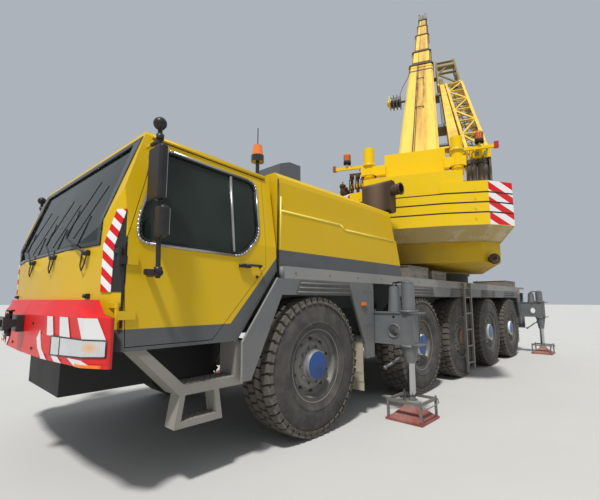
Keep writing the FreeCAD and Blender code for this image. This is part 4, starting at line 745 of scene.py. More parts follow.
nodeFinish = {"chassis_frame": "nose", "deck": "deck", "slew_bearing": "axle", "side_panels": "panel",
              "access_steps": "step", "axles": "axle", "cab_shell": "cab", "cab_windscreen": "glass",
              "cab_interior": "seat", "front_bumper": "bumper", "carrier_lamps": "lamp",
              "engine_cover": "cover", "engine_block": "axle", "silencer_and_intake": "silencer",
              "cab_door_left": "cab", "cab_door_right": "cab", "cab_door_glass_left": "glass",
              "cab_door_glass_right": "glass", "turntable": "turntable", "counterweight": "weight",
              "ballast_lifting_gear": "gear", "hoist_winch": "axle", "crane_cab": "yellow",
              "crane_cab_glass": "glass", "boom_base": "boom", "folding_jib": "jib", "cable_reel": "reel",
              "lift_cylinder_barrel": "turntable", "lift_cylinder_rod": "chrome", }
seriesFinish = {"boom_section": "boom", "steering_knuckle": "axle", "outrigger_beam": "casing",
                "outrigger_jack": "pad", "wheel": "rubber"}
for name, item in nodes.items():
    series = [finish for start, finish in seriesFinish.items() if name.startswith(start)]
    item.data.materials.clear()
    item.data.materials.append(paints[nodeFinish.get(name) or series[0]])
print("frame nodes painted")

# Wheels
wheelSizes = {"axleX": (5.96, 3.49, 1.84, 0.19, -1.46), "midY": 1.29, "tyreRadius": 0.715, "width": 0.42,
              "rimRadius": 0.356, "capRadius": 0.148, "blocks": 44, "blockDeep": 0.024}


def tyreForm(centre, out):
    # Carcass by lathe, then tread blocks in four staggered rows with shoulder lugs
    s = wheelSizes
    half, top, bead = s["width"] / 2, s["tyreRadius"] - s["blockDeep"], s["rimRadius"]
    form = Form()
    profile = [(-half + 0.045, bead - 0.03), (-half + 0.03, bead + 0.012), (-half + 0.01, bead + 0.05),
               (-half + 0.002, bead + 0.11), (-half, bead + 0.19), (-half + 0.012, top - 0.1),
               (-half + 0.022, top - 0.05), (-half + 0.034, top - 0.02), (-half + 0.07, top)]
    ridges = [(-half + 0.004, bead + 0.075), (-half - 0.001, bead + 0.08), (-half - 0.001, bead + 0.087),
              (-half + 0.003, bead + 0.092)]
    profile = profile[:3] + ridges + profile[3:]
    profile = profile + [(-a, r) for a, r in reversed(profile)]
    form.lathe(profile, centre, (0, out, 0), 72)
    form.paint = 1
    count = s["blocks"]
    axis = Vector((0, 1, 0))
    for row, (mid, wide, shift) in enumerate(((-0.152, 0.085, 0.0), (-0.051, 0.088, 0.5), (0.051, 0.088, 0.0),
                                              (0.152, 0.085, 0.5))):
        for i in range(count):
            turn = Matrix.Rotation(2 * math.pi * (i + shift) / count, 3, axis)
            skew = Matrix.Rotation(0.22 * (1 if row % 2 else -1), 3, Vector((0, 0, 1)))
            long = 0.79 * math.pi * s["tyreRadius"] / count
            outer = row in (0, 3)
            sign = -1 if row == 0 else 1
            corners = []
            for u, v in ((-1, -1), (1, -1), (1, 1), (-1, 1)):
                corners.append(skew @ Vector((u * long, v * wide / 2, 0)))
            foot = [turn @ (c + Vector((0, mid, top - 0.012))) for c in corners]
            head = [turn @ (c * 0.93 + Vector((0, mid, s["tyreRadius"] - (0.012 if outer else 0.001)
                                               + (0.008 if outer and c.y * sign < 0 else 0))))
                    for c in corners]
            points = [Vector(centre) + p for p in foot + head]
            form.patch(points, [(4, 5, 6, 7), (0, 1, 5, 4), (1, 2, 6, 5), (2, 3, 7, 6), (3, 0, 4, 7)])
            if outer:
                low = turn @ Vector((0, mid + sign * 0.052, top - 0.052))
                high = turn @ Vector((0, mid + sign * 0.036, top - 0.004))
                side = turn @ Vector((long * 0.85, 0, 0))
                back = turn @ Vector((0, -sign * 0.05, 0))
                ring = [low - side, low + side, high + side, high - side]
                points = [Vector(centre) + p for p in ring] + [Vector(centre) + p + back for p in ring]
                form.patch(points, [(0, 1, 2, 3), (0, 4, 5, 1), (1, 5, 6, 2), (2, 6, 7, 3), (3, 7, 4, 0)])
    return form


def rimForm(centre, out):
    # Rim bed, disc with hand holes, studs and the hub with its cap
    s = wheelSizes
    half, bead, capRadius = s["width"] / 2, s["rimRadius"], s["capRadius"]
    form = Form()
    bed = [(half - 0.03, bead + 0.006), (half - 0.024, bead + 0.014), (half - 0.032, bead + 0.022),
           (half - 0.05, bead + 0.004), (half - 0.05, bead - 0.012), (half - 0.085, bead - 0.03),
           (half - 0.11, bead - 0.036), (0.075, bead - 0.05), (0.075, bead - 0.08), (0.105, bead - 0.11),
           (0.12, 0.215), (0.118, 0.17), (0.15, 0.165), (0.158, capRadius + 0.004)]
    form.lathe(bed, centre, (0, out, 0), 64)
    inner = [(0.06, bead - 0.05), (-half + 0.05, bead - 0.03), (-half + 0.03, bead + 0.01)]
    form.lathe(inner, centre, (0, out, 0), 48)
    c = Vector(centre)
    for x, z in around(10, 0.192):
        form.stud(c + Vector((x, out * 0.11, z)), (0, out * 0.035, 0), 0.013)
    form.paint = 3
    for x, z in around(10, 0.263, 0.5):
        form.stud(c + Vector((x, out * 0.09, z)), (0, out * 0.0185, 0), 0.017, 12)
    form.paint = 1
    form.lathe([(0.15, capRadius + 0.004), (0.19, capRadius + 0.002), (0.197, capRadius - 0.006)], centre,
               (0, out, 0), 40)
    form.paint = 2
    form.lathe([(0.1965, capRadius - 0.005), (0.2, capRadius - 0.018), (0.2, 0.045), (0.203, 0.04),
                (0.203, 0.0005)], centre, (0, out, 0), 40)
    return form


# Cap and ring of the hubs, from the first axle back
hubPaints = [("hubBlue", "hubRing"), ("hubBlue", "white"), ("rust", "rust"), ("bluePale", "white"),
             ("bluePale", "white")]
for count, axleX in enumerate(wheelSizes["axleX"], 1):
    for side, out in sides:
        centre = (axleX, out * wheelSizes["midY"], wheelSizes["tyreRadius"])
        name = "wheel_%d_%s" % (count, side)
        tyreForm(centre, out).piece("tyre_%d_%s" % (count, side), ["rubber", "tread"], name, "tyre", (name,))
        cap, ring = hubPaints[count - 1]
        rimForm(centre, out).piece("rim_%d_%s" % (count, side),
                                   ["rim", ring, cap, "black"], name, "frame_grey")
print("wheels dressed")

# Road cab
cabSizes = {"half": 1.44, "belt": 1.9, "lean": 0.095, "leanOver": 0.76}


def cabSideY(z):
    # The side stands upright to the belt and leans inwards above it
    s = cabSizes
    return s["half"] - s["lean"] * max(0.0, z - s["belt"]) / s["leanOver"]


def cabFrontX(y, z):
    # The front is a shallow wedge in plan, and leans back above the sill of the windscreen
    y = abs(y)
    if y < 0.6:
        plan = 8.15 - 0.02 * y / 0.6
    elif y < 1.29:
        plan = 8.13 - 0.07 * (y - 0.6) / 0.69
    else:
        plan = 8.06 - 0.1 * (y - 1.29) / 0.15
    if z < 1.64:
        lean = 8.15
    elif z < 1.77:
        lean = 8.15 - 0.025 * (z - 1.64) / 0.13
    else:
        lean = 8.125 - 0.3 * (z - 1.77) / 0.92
    return min(plan, lean)


def frontPath(corners, proud):
    # Points over the cab's front between (y, z) corners, a little proud of the sheet
    points, step = [], 0.1
    for (y0, z0), (y1, z1) in zip(corners, corners[1:]):
        count = max(1, round(math.hypot(y1 - y0, z1 - z0) / step))
        for i in range(count):
            y, z = y0 + (y1 - y0) * i / count, z0 + (z1 - z0) * i / count
            points.append((cabFrontX(y, z) + proud, y, z))
    y, z = corners[-1]
    return points + [(cabFrontX(y, z) + proud, y, z)]


def sidePath(corners, sign, proud=0.003):
    return [(x, sign * (cabSideY(z) + proud), z) for x, z in corners]


windowOutline = [(7.89, 1.8), (6.94, 1.775), (6.74, 1.985), (6.74, 2.52), (7.69, 2.58), (7.895, 1.96)]
windowTrim = [(7.87, 1.817), (6.948, 1.792), (6.758, 1.99), (6.758, 2.503), (7.68, 2.562), (7.875, 1.96)]
screenOutline = [(-1.19, 1.815), (1.19, 1.815), (1.19, 2.61), (-1.19, 2.61), (-1.19, 1.815)]

screen = Form()
screen.tube(frontPath(screenOutline, -0.004), 0.009)
screen.paint = 1
innerEdge = screenOutline[:4]
outerEdge = [(-1.25, 1.79), (1.235, 1.785), (1.322, 2.642), (-1.3, 2.655)]
for i in range(4):
    for k in range(16):
        rows = []
        for share in (k / 16, (k + 1) / 16):
            for edge, proud in ((innerEdge, 0.005), (outerEdge, 0.008)):
                (y0, z0), (y1, z1) = edge[i], edge[(i + 1) % 4]
                y, z = y0 + (y1 - y0) * share, z0 + (z1 - z0) * share
                rows.append((cabFrontX(y, z) + proud, y, z))
        screen.patch([rows[0], rows[1], rows[3], rows[2]], [(0, 1, 2, 3)])
screen.paint = 0
screen.tube(frontPath(outerEdge + outerEdge[:1], 0.0), 0.006)
screen.piece("windscreen_seal", ["seal", "edgeGlass"], "carrier", "interior_plastic")

# Wipers: pivot, elbow of the arm, lower end and upper end of the blade, each as (y, z)
wiperTable = [
    {"pivot": (1.07, 1.735), "elbow": (0.64, 1.885), "low": (0.5, 1.93), "high": (0.84, 2.36)},
    {"pivot": (0.42, 1.745), "elbow": (0.06, 1.88), "low": (-0.06, 1.9), "high": (0.22, 2.3)},
    {"pivot": (-0.25, 1.742), "elbow": (-0.62, 1.88), "low": (-0.8, 1.89), "high": (-0.5, 2.3)},
]
wipers = Form()
for wiper in wiperTable:
    (py, pz), (ey, ez) = wiper["pivot"], wiper["elbow"]
    (ly, lz), (hy, hz) = wiper["low"], wiper["high"]
    low = Vector((cabFrontX(ly, lz) + 0.018, ly, lz))
    high = Vector((cabFrontX(hy, hz) + 0.018, hy, hz))
    mid = low.lerp(high, 0.45) + Vector((0.016, 0, 0.006))
    pivot = Vector((cabFrontX(py, pz), py, pz))
    elbow = Vector((cabFrontX(ey, ez) + 0.035, ey, ez))
    wipers.rod(pivot - Vector((0.01, 0, 0)), pivot + Vector((0.05, 0, 0)), 0.022, 12)
    wipers.tube([pivot + Vector((0.042, 0, 0)), elbow, mid], 0.007)
    wipers.rod(low, high, 0.0045, 6)
    loop = [(pivot.x + 0.012, py - 0.02, pz - 0.02), (pivot.x + 0.026, py - 0.03, pz - 0.1),
            (pivot.x + 0.028, py - 0.06, pz - 0.13), (pivot.x + 0.026, py - 0.1, pz - 0.09),
            (pivot.x + 0.012, py - 0.12, pz + 0.01)]
    wipers.tube(loop, 0.005, 6)
wipers.piece("wipers", ["black"], "carrier", "interior_plastic")

# Striped warning strips on the corner facets, with a dark plate beside each
stripCorners = [(0.0, 1.445), (0.08, 1.445), (0.088, 1.77), (0.168, 2.03), (0.09, 2.03), (0.0, 1.775)]
plateCorners = [(0.08, 1.445), (0.166, 1.445), (0.166, 2.025), (0.088, 1.77)]
facet = {"x": 8.06, "y": 1.29, "alongX": -0.5547, "alongY": 0.832, "outX": 0.832, "outY": 0.5547}


def facetPoint(along, z, sign, proud):
    f = facet
    return Vector((f["x"] + f["alongX"] * along + f["outX"] * proud,
                   sign * (f["y"] + f["alongY"] * along + f["outY"] * proud), z))


for side, sign in sides:
    strip = Form()
    out = Vector((facet["outX"], sign * facet["outY"], 0)) * 0.006
    strip.prism([facetPoint(a, z, sign, 0.003) for a, z in stripCorners], out)
    strip.paint = 1
    strip.prism([facetPoint(a, z, sign, 0.001) for a, z in plateCorners], out * 0.5)
    strip.piece("warning_strip_" + side, ["strip", "black"], "carrier", "signal_red")

trim = Form()
for sign in signs:
    roofLine = [(7.78, 2.655), (6.62, 2.592)]
    trim.paint = 1
    trim.tube(sidePath(roofLine, sign, 0.004), 0.013)
    trim.paint = 0
    # Thin dark line just under the gutter: a painted shadow
    trim.tube(sidePath([(x, z - 0.018) for x, z in roofLine], sign, 0.0), 0.004, 6)
    post = [(7.97, 1.2), (7.975, 1.77), (7.745, 2.62)]
    trim.tube(sidePath(post, sign, -0.002), 0.009, 6)
trim.piece("cab_gutters", ["seal", "yellow"], "carrier", "interior_plastic")

nozzles = Form()
for y in (-1.1, 1.1):
    x = cabFrontX(y, 1.42)
    nozzles.box((x - 0.01, y - 0.035, 1.4), (x + 0.02, y + 0.035, 1.435), 0.005)
    nozzles.rod((x + 0.01, y, 1.417), (x + 0.035, y, 1.42), 0.014, 12)
nozzles.piece("nose_handles", ["black"], "carrier", "interior_plastic")


def roundedPath(corners, radius):
    # Closed (x, z) path with its corners rounded, and the leftover wedge at each corner
    path, wedges, steps = [], [], 5
    count = len(corners)
    for i in range(count):
        before, at, after = (Vector(corners[(i + k) % count]) for k in (-1, 0, 1))
        start, end = at + (before - at).normalized() * radius, at + (after - at).normalized() * radius
        arc = [start * (1 - t) ** 2 + at * 2 * t * (1 - t) + end * t * t
               for t in [k / steps for k in range(steps + 1)]]
        path += arc
        wedges.append([at] + arc)
    return [tuple(p) for p in path], [[tuple(p) for p in wedge] for wedge in wedges]


for side, sign in sides:
    door = "door_" + side
    seals = Form()
    rounded, wedges = roundedPath(windowOutline, 0.085)
    roundedTrim, _ = roundedPath(windowTrim, 0.08)
    seals.loop(sidePath(roundedTrim, sign, -0.002), 0.009)
    seals.paint = 1
    seals.loop(sidePath(rounded, sign, 0.002), 0.011)
    seals.paint = 2
    for wedge in wedges:
        seals.prism(sidePath(wedge, sign, -0.003), (0, sign * 0.005, 0))
    seals.paint = 1
    seals.rod(*sidePath([(7.035, 1.81), (7.035, 2.51)], sign, -0.004), 0.014, 8)
    seals.paint = 0
    seals.piece("door_window_frame_" + side, ["seal", "trim", "cab"], door, "interior_plastic")
    handle = Form()
    y = sign * cabSizes["half"]
    handle.tube([(6.74, y, 1.69), (6.74, y + sign * 0.03, 1.7), (6.93, y + sign * 0.032, 1.7),
                 (6.99, y + sign * 0.02, 1.695)], 0.011, 10)
    handle.rod((6.77, y, 1.6), (6.77, y + sign * 0.006, 1.6), 0.014, 12)
    handle.piece("door_handle_" + side, ["black"], door, "interior_plastic")
    mirror = Form()
    armY = sign * 1.59
    for z in (1.6, 1.86, 2.0, 2.14, 2.46, 2.56):
        x = 7.8 + 0.035 * (z - 1.54)
        mirror.rod((x, armY, z - 0.018), (x, armY, z + 0.018), 0.028, 10)
    mirror.box((7.835, armY - 0.014, 1.56), (7.9, armY + 0.014, 1.6), 0.004)
    mirror.paint = 1
    for low, high, x, near, far in ((2.11, 2.48, 7.7945, -0.11, 0.05), (1.84, 2.03, 7.7745, -0.13, 0.08)):
        edges = sorted((armY + sign * near, armY + sign * far))
        mirror.box((x - 0.003, edges[0], low), (x, edges[1], high))
    mirror.piece("mirror_fittings_" + side, ["black", "mirror"], door, "interior_plastic")
print("cab trimmed")

# Bumper and lamps; the bumper's outer face runs through these (y, x) corners
bumperCorners = [(0.0, 8.24), (0.64, 8.225), (1.31, 8.15), (1.48, 8.06)]


def bumperX(y):
    (y0, x0), (y1, x1) = next(pair for pair in zip(bumperCorners, bumperCorners[1:])
                              if y < pair[1][0] or pair[1] == bumperCorners[-1])
    return x0 + (x1 - x0) * (y - y0) / (y1 - y0)


def bumperSlab(form, y0, y1, low, high, sign, proud, deep, rise=0.0):
    # A thin slab that follows the bumper's face, its lower edge rising outwards
    steps = 8
    bends = [y for y, _ in bumperCorners if y0 < y < y1]
    ys = sorted([y0 + (y1 - y0) * i / steps for i in range(steps + 1)] + bends)
    for a, b in zip(ys, ys[1:]):
        lowA, lowB = (low + rise * (k - y0) / (y1 - y0) for k in (a, b))
        ring = [(bumperX(a) + proud, sign * a, lowA), (bumperX(b) + proud, sign * b, lowB),
                (bumperX(b) + proud, sign * b, high), (bumperX(a) + proud, sign * a, high)]
        form.prism(ring, (-deep, 0, 0))


lampTrim = Form()
for sign in signs:
    lampTrim.paint = 2
    bumperSlab(lampTrim, 0.81, 1.468, 0.992, 1.124, sign, 0.007, 0.004, rise=0.03)
    lampTrim.paint = 1
    for y, radius in ((0.885, 0.04), (1.12, 0.056)):
        lampTrim.lathe([(0.0, 0.004), (0.003, radius * 0.5), (0.006, radius * 0.9), (0.009, radius),
                        (0.006, radius * 1.04)], (bumperX(y) - 0.003, sign * y, 1.055), (1, sign * 0.11, 0),
                       24)
    lampTrim.paint = 0
    ends = [0.805, 1.0, 1.31, 1.472]
    lampTrim.tube([(bumperX(y) + 0.005, sign * y, 1.126) for y in ends], 0.005)
    lampTrim.tube([(bumperX(y) + 0.005, sign * y, 0.99 + 0.03 * (y - 0.805) / 0.667) for y in ends], 0.005)
    for y in (0.805, 0.955, 1.472):
        lampTrim.rod((bumperX(y) + 0.006, sign * y, 0.99 + 0.03 * (y - 0.805) / 0.667),
                     (bumperX(y) + 0.006, sign * y, 1.126), 0.005, 8)
    lampTrim.paint = 3
    bumperSlab(lampTrim, 0.58, 0.803, 0.985, 1.13, sign, 0.003, 0.006)
    bumperSlab(lampTrim, 0.803, 1.475, 0.975, 1.022, sign, 0.003, 0.004)
lampTrim.piece("headlamp_lenses", ["black", "reflector", "lens", "bumper"], "carrier", "lamp_plastic")

bumperBits = Form()
for sign in signs:
    bumperBits.paint = 1
    bumperSlab(bumperBits, 1.22, 1.44, 0.948, 0.966, sign, 0.014, 0.014)
    bumperBits.paint = 0
    for y, z in ((0.35, 1.2), (0.35, 1.0)):
        bumperBits.rod((bumperX(y) - 0.002, sign * y, z), (bumperX(y) + 0.008, sign * y, z), 0.012, 6)
bumperBits.rod((8.33, 0, 1.08), (8.33, 0, 1.3), 0.016, 10)
bumperBits.rod((8.33, 0, 1.29), (8.33, 0, 1.305), 0.03, 10)
bumperBits.piece("bumper_fittings", ["black", "amber"], "carrier", "signal_red")

# White bands on the bumper: rows of (y inner, y outer, level), mirrored to the other side
bandTable = [
    [(0.565, 0.575, 1.156), (0.488, 0.6, 1.09), (0.53, 0.64, 1.02), (0.64, 0.74, 0.947)],
    [(0.7, 0.8, 1.268), (0.716, 0.838, 1.127)],
    [(0.8, 0.915, 0.992), (0.88, 1.0, 0.947)],
    [(0.92, 1.055, 1.268), (0.942, 1.11, 1.127)],
    [(1.085, 1.3, 0.992), (1.2, 1.4, 0.947)],
    [(1.2, 1.4, 1.268), (1.285, 1.47, 1.127)],
]
bands = Form()
for sign in signs:
    for rows in bandTable:
        fine = []
        for first, last in zip(rows, rows[1:]):
            fine += [[p + (q - p) * k / 8 for p, q in zip(first, last)] for k in range(8)]
        fine.append(rows[-1])
        for (a0, b0, z0), (a1, b1, z1) in zip(fine, fine[1:]):
            for i in range(12):
                corners = []
                for a, b, z in ((a0, b0, z0), (a1, b1, z1)):
                    for share in (i / 12, (i + 1) / 12):
                        y = a + (b - a) * share
                        corners.append((bumperX(y) + 0.0055, sign * y, z))
                bands.patch([corners[0], corners[1], corners[3], corners[2]], [(0, 1, 2, 3)])
bands.piece("bumper_bands", ["white"], "carrier", "signal_red")
print("bumper dressed")

# Steps, mudguards, flap and side details
treads = Form()
for sign in signs:
    for low, high, z, y0, y1 in ((7.0, 7.44, 0.7455, 1.21, 1.42), (7.19, 7.46, 0.4855, 1.3, 1.42)):
        count = int((high - low) / 0.05)
        for row in range(3):
            for i in range(count):
                x = low + (i + 0.5) * (high - low) / count
                y = y0 + (row + 0.5) * (y1 - y0) / 3
                treads.rod((x, sign * y, z - 0.002), (x, sign * y, z + 0.004), 0.011, 8)
treads.piece("step_treads", ["steel"], "carrier", "frame_grey")


def ribbedGuard(form, x0, x1, sign, low, high):
    # A dark inset panel over a wheel with level pressed ribs; narrower at its top
    y = sign * 1.492
    top = (high - low) * 0.42
    form.paint = 0
    outline = [(x0, y, low), (x0 + top, y, high), (x1 - top, y, high), (x1, y, low)]
    form.prism(outline, (0, -sign * 0.006, 0))
    form.paint = 1
    for i in range(3):
        z = low + 0.022 + i * 0.046
        inset = (z - low) * 0.42 + 0.02
        form.rod((x0 + inset, y, z), (x1 - inset, y, z), 0.01, 8)


guards = Form()
for sign in signs:
    ribbedGuard(guards, 5.32, 6.3, sign, 1.445, 1.592)
    for centre in wheelSizes["axleX"][1:]:
        ribbedGuard(guards, centre - 0.5, centre + 0.5, sign, 1.445, 1.592)
guards.piece("wheel_guards", ["guard", "panel"], "carrier", "frame_grey")

sideBits = Form()
for sign in signs:
    y = sign * 1.49
    sideBits.rod((6.475, sign * 1.467, 1.6), (6.475, sign * 1.467, 1.715), 0.026, 16)
    sideBits.rod((6.475, sign * 1.467, 1.44), (6.475, sign * 1.467, 1.6), 0.012, 8)
    for x in (4.9, 4.98, 5.06):
        for z in (0.74, 1.1, 1.5):
            sideBits.rod((x, y, z), (x, y + sign * 0.006, z), 0.009, 6)
    for i in range(16):
        x = 6.3 - i * 0.55
        if x > -2.4:
            sideBits.rod((x, y, 1.66), (x, y + sign * 0.005, 1.66), 0.012, 6)
    sideBits.paint = 1
    for x, z in ((5.09, 1.34), (-2.3, 1.56)):
        sideBits.box((x - 0.05, min(y, y + sign * 0.02), z - 0.022),
                     (x + 0.05, max(y, y + sign * 0.02), z + 0.022), 0.006)
    sideBits.paint = 0
sideBits.piece("side_fittings", ["frame", "amber"], "carrier", "frame_grey")

bevels = Form()
for sign in signs:
    y = sign * 1.484
    bevels.tube([(6.962, y, 0.7), (6.962, y, 1.03), (6.547, y, 1.6)], 0.008, 6)
    bevels.tube([(4.862, y, 1.6), (4.862, y, 0.69), (5.048, y, 0.69)], 0.006, 6)
bevels.piece("panel_edges", ["rail"], "carrier", "frame_grey")

flaps = Form()
for sign in signs:
    for x, low, high in ((5.055, 0.3, 0.93), (-2.3, 0.3, 0.9)):
        edges = sorted((sign * 1.08, sign * 1.45))
        flaps.paint = 0
        for i in range(6):
            z0, z1 = low + (high - low) * i / 6, low + (high - low) * (i + 1) / 6
            bow = 0.012 * math.sin(math.pi * i / 6)
            flaps.box((x - 0.006 + bow, edges[0], z0), (x + 0.006 + bow, edges[1], z1 + 0.001))
        flaps.paint = 1
        flaps.box((x - 0.02, edges[0] + 0.02, high - 0.05), (x + 0.02, edges[1] - 0.02, high + 0.02), 0.003)
flaps.piece("mudflaps", ["cream", "frame"], "carrier", "frame_grey")
print("carrier sides dressed")

# Outriggers
outriggerTable = [{"name": "front_left", "x": 4.725, "sign": 1, "bottom": 0.85},
                  {"name": "front_right", "x": 4.525, "sign": -1, "bottom": 0.85},
                  {"name": "rear_left", "x": -2.66, "sign": 1, "bottom": 0.94},
                  {"name": "rear_right", "x": -2.86, "sign": -1, "bottom": 0.94}]
outriggerSizes = {"jackY": 1.9, "beamHigh": 0.39}


def outriggerDetails(row):
    s = outriggerSizes
    x, sign, low = row["x"], row["sign"], row["bottom"]
    top, jackY = low + s["beamHigh"], sign * s["jackY"]
    form = Form()
    for z in (low - 0.012, top + 0.012):
        form.band((x, jackY, z), vertical, -0.012, 0.012, 0.101, 0.116)
        for i, j in around(10, 0.108):
            form.stud((x + i, jackY + j, z - 0.018), (0, 0, 0.036), 0.007)
    form.rod((x, jackY, 1.588), (x, jackY, 1.612), 0.062, 20)
    form.rod((x, jackY, 1.61), (x, jackY, 1.63), 0.022, 6)
    for i, j in around(8, 0.05):
        form.stud((x + i, jackY + j, 1.6), (0, 0, 0.022), 0.006)
    for y in (1.3, 1.84, 1.99):
        for side in (-1, 1):
            form.box((x + side * 0.086 - 0.006, sign * y - 0.006, low + 0.014),
                     (x + side * 0.086 + 0.006, sign * y + 0.006, top - 0.014))
    for side in (-1, 1):
        form.lathe([(0, 0.073), (0.008, 0.073), (0.008, 0.086), (0, 0.088)],
                   (x + side * 0.086, sign * 1.736, low + 0.164), (side, 0, 0), 24)
    # Locking lever under the beam and the hoses on the valve
    form.tube([(x, sign * 1.775, low - 0.15), (x + 0.03, sign * 1.68, low - 0.23),
               (x + 0.065, sign * 1.59, low - 0.295)], 0.016)
    form.rod((x + 0.05, sign * 1.6, low - 0.29), (x + 0.08, sign * 1.58, low - 0.3), 0.024, 10)
    form.rod((x, sign * 1.79, low - 0.14), (x, sign * 1.86, low - 0.14), 0.022, 10)
    form.paint = 1
    for side in (-1, 1):
        form.tube([(x + side * 0.03, sign * 1.713, 1.555), (x + side * 0.035, sign * 1.72, 1.6),
                   (x + side * 0.03, sign * 1.79, 1.615), (x + side * 0.02, sign * 1.85, 1.6)], 0.009)
    form.rod((x, sign * 1.713, 1.55), (x, sign * 1.713, 1.58), 0.045, 16)
    form.piece("outrigger_fittings_" + row["name"], ["casing", "black"], "beam_" + row["name"], "frame_grey")
    pad = Form()
    for i in (-1, 1):
        for j in (-1, 1):
            px, py = x + i * 0.2025, jackY + j * 0.2025
            pad.rod((px, py, 0.235), (px, py, 0.262), 0.012, 8)
            pad.tube([(px, py, 0.03), (px + i * 0.012, py, 0.1), (px + i * 0.012, py, 0.19),
                      (px, py, 0.215)], 0.006, 6)
    pad.tube([(x - 0.21, jackY + sign * 0.222, 0.228), (x - 0.21, jackY + sign * 0.236, 0.18),
              (x, jackY + sign * 0.238, 0.17), (x + 0.21, jackY + sign * 0.236, 0.18),
              (x + 0.21, jackY + sign * 0.222, 0.228)], 0.007, 6)
    pad.lathe([(0.0, 0.075), (0.05, 0.07), (0.06, 0.056), (0.06, 0.048)], (x, jackY, 0.15), vertical, 24)
    pad.paint = 1
    for i, j in around(4, 0.06, 0.5):
        pad.stud((x + i, jackY + j, 0.205), (0, 0, 0.017), 0.008)
    pad.piece("jack_fittings_" + row["name"], ["frame", "steel"], "jack_" + row["name"], "frame_grey")


for row in outriggerTable:
    outriggerDetails(row)
print("outriggers dressed")

# Engine cover, silencer and deck
cover = Form()
cover.rod((6.508, 1.44, 1.74), (6.508, 1.44, 2.6), 0.008, 8)
cover.rod((6.508, -1.44, 1.74), (6.508, -1.44, 2.6), 0.008, 8)
# Pale yellow beads along the cover's crease and front edge: painted highlight
cover.paint = 2
for sign in signs:
    y = sign * 1.452
    cover.tube([(6.475, y, 2.276), (5.5, y, 2.276), (5.4, y, 2.226), (4.2, y, 2.226)], 0.011)
    cover.rod((6.482, y, 1.885), (6.482, y, 2.42), 0.008, 8)
cover.paint = 1
for i in range(14):
    y = -1.16 + i * 0.055
    cover.box((4.55, y, 2.688), (5.35, y + 0.02, 2.7), 0.003)
cover.box((4.52, -1.19, 2.686), (5.38, -1.17, 2.705))
cover.box((4.52, -0.4, 2.686), (5.38, -0.38, 2.705))
for i in range(10):
    z = 2.0 + i * 0.05
    cover.box((3.998, -0.9, z), (4.012, -0.1, z + 0.02), 0.003)
cover.piece("cover_fittings", ["black", "guard", "paintedHighlightEdge"], "carrier", "frame_grey")

pipe = Form()
pipe.band((3.915, 1.43, 3.075), (0, 1, 0), -0.012, 0.012, 0.087, 0.094)
for z in (2.1, 2.5):
    pipe.band((3.9, 1.045, z), vertical, -0.01, 0.01, 0.062, 0.075, 24)
pipe.piece("silencer_bands", ["silencer"], "carrier", "silencer_steel")

# Lockers on the deck: x from and to, y from and to, lid level
lockerTable = [(2.95, 3.65, 0.9, 1.38, 1.91), (2.25, 2.85, 1.05, 1.4, 1.87), (3.05, 3.7, -1.38, -0.8, 1.91),
               (-2.9, -1.9, 0.5, 1.3, 1.88), (-2.9, -1.9, -1.3, -0.5, 1.88), (1.3, 2.1, -1.4, -1.05, 1.89)]
lockers = Form()
for x0, x1, y0, y1, top in lockerTable:
    outY = y1 if y1 > 0 else y0
    grip = outY + math.copysign(0.02, outY)
    lockers.paint = 0
    lockers.box((x0 - 0.012, y0 - 0.012, top - 0.001), (x1 + 0.012, y1 + 0.012, top + 0.012), 0.004)
    lockers.paint = 1
    for share in (0.25, 0.75):
        x = x0 + (x1 - x0) * share
        lockers.tube([(x - 0.05, outY, top - 0.06), (x - 0.05, grip, top - 0.06),
                      (x + 0.05, grip, top - 0.06), (x + 0.05, outY, top - 0.06)], 0.006, 6)
    for x in (x0 + 0.05, x1 - 0.13):
        lockers.box((x, y0 + 0.05, top + 0.01), (x + 0.08, y0 + 0.08, top + 0.025), 0.004)
lockers.piece("deck_lockers", ["locker", "frame"], "carrier", "deck_grey")

deckBits = Form()
for x, y in around(60, 0.9):
    deckBits.stud((x, y, 1.945), (0, 0, 0.002), 0.014)
deckBits.paint = 1
treadPitch = 0.16
for x0, x1, y0, y1 in ((0.95, 2.2, -0.62, 0.62), (-2.2, -1.0, -0.45, 0.45), (2.3, 3.9, -0.7, 0.75)):
    countX, countY = int((x1 - x0) / treadPitch), int((y1 - y0) / treadPitch)
    for i in range(countX):
        for j in range(countY):
            x, y = x0 + i * treadPitch + treadPitch / 2, y0 + j * treadPitch + treadPitch / 2
            if math.hypot(x, y) > 1.05:
                turn = Matrix.Rotation(math.pi / 4 if (i + j) % 2 else -math.pi / 4, 3, "Z")
                deckBits.box((x - 0.045, y - 0.009, 1.719), (x + 0.045, y + 0.009, 1.724), 0.0, turn)
deckBits.piece("deck_treads", ["steel", "locker"], "carrier", "deck_grey")

hoses = Form()
for y, radius in ((0.8, 0.022), (0.74, 0.018), (0.68, 0.022), (-0.76, 0.02), (-0.82, 0.02)):
    run = [(4.0, y, 1.745), (3.6, y * 0.97, 1.745), (2.6, y * 0.95, 1.745), (1.9, y * 0.85, 1.745),
           (1.15, y * 0.62, 1.745)]
    hoses.tube(run, radius, 10)
for x in (3.4, 2.7, 2.05):
    for y in (0.71, -0.76):
        hoses.box((x - 0.02, y - 0.11, 1.72), (x + 0.02, y + 0.11, 1.776), 0.004)
hoses.piece("deck_hoses", ["black"], "carrier", "frame_grey")

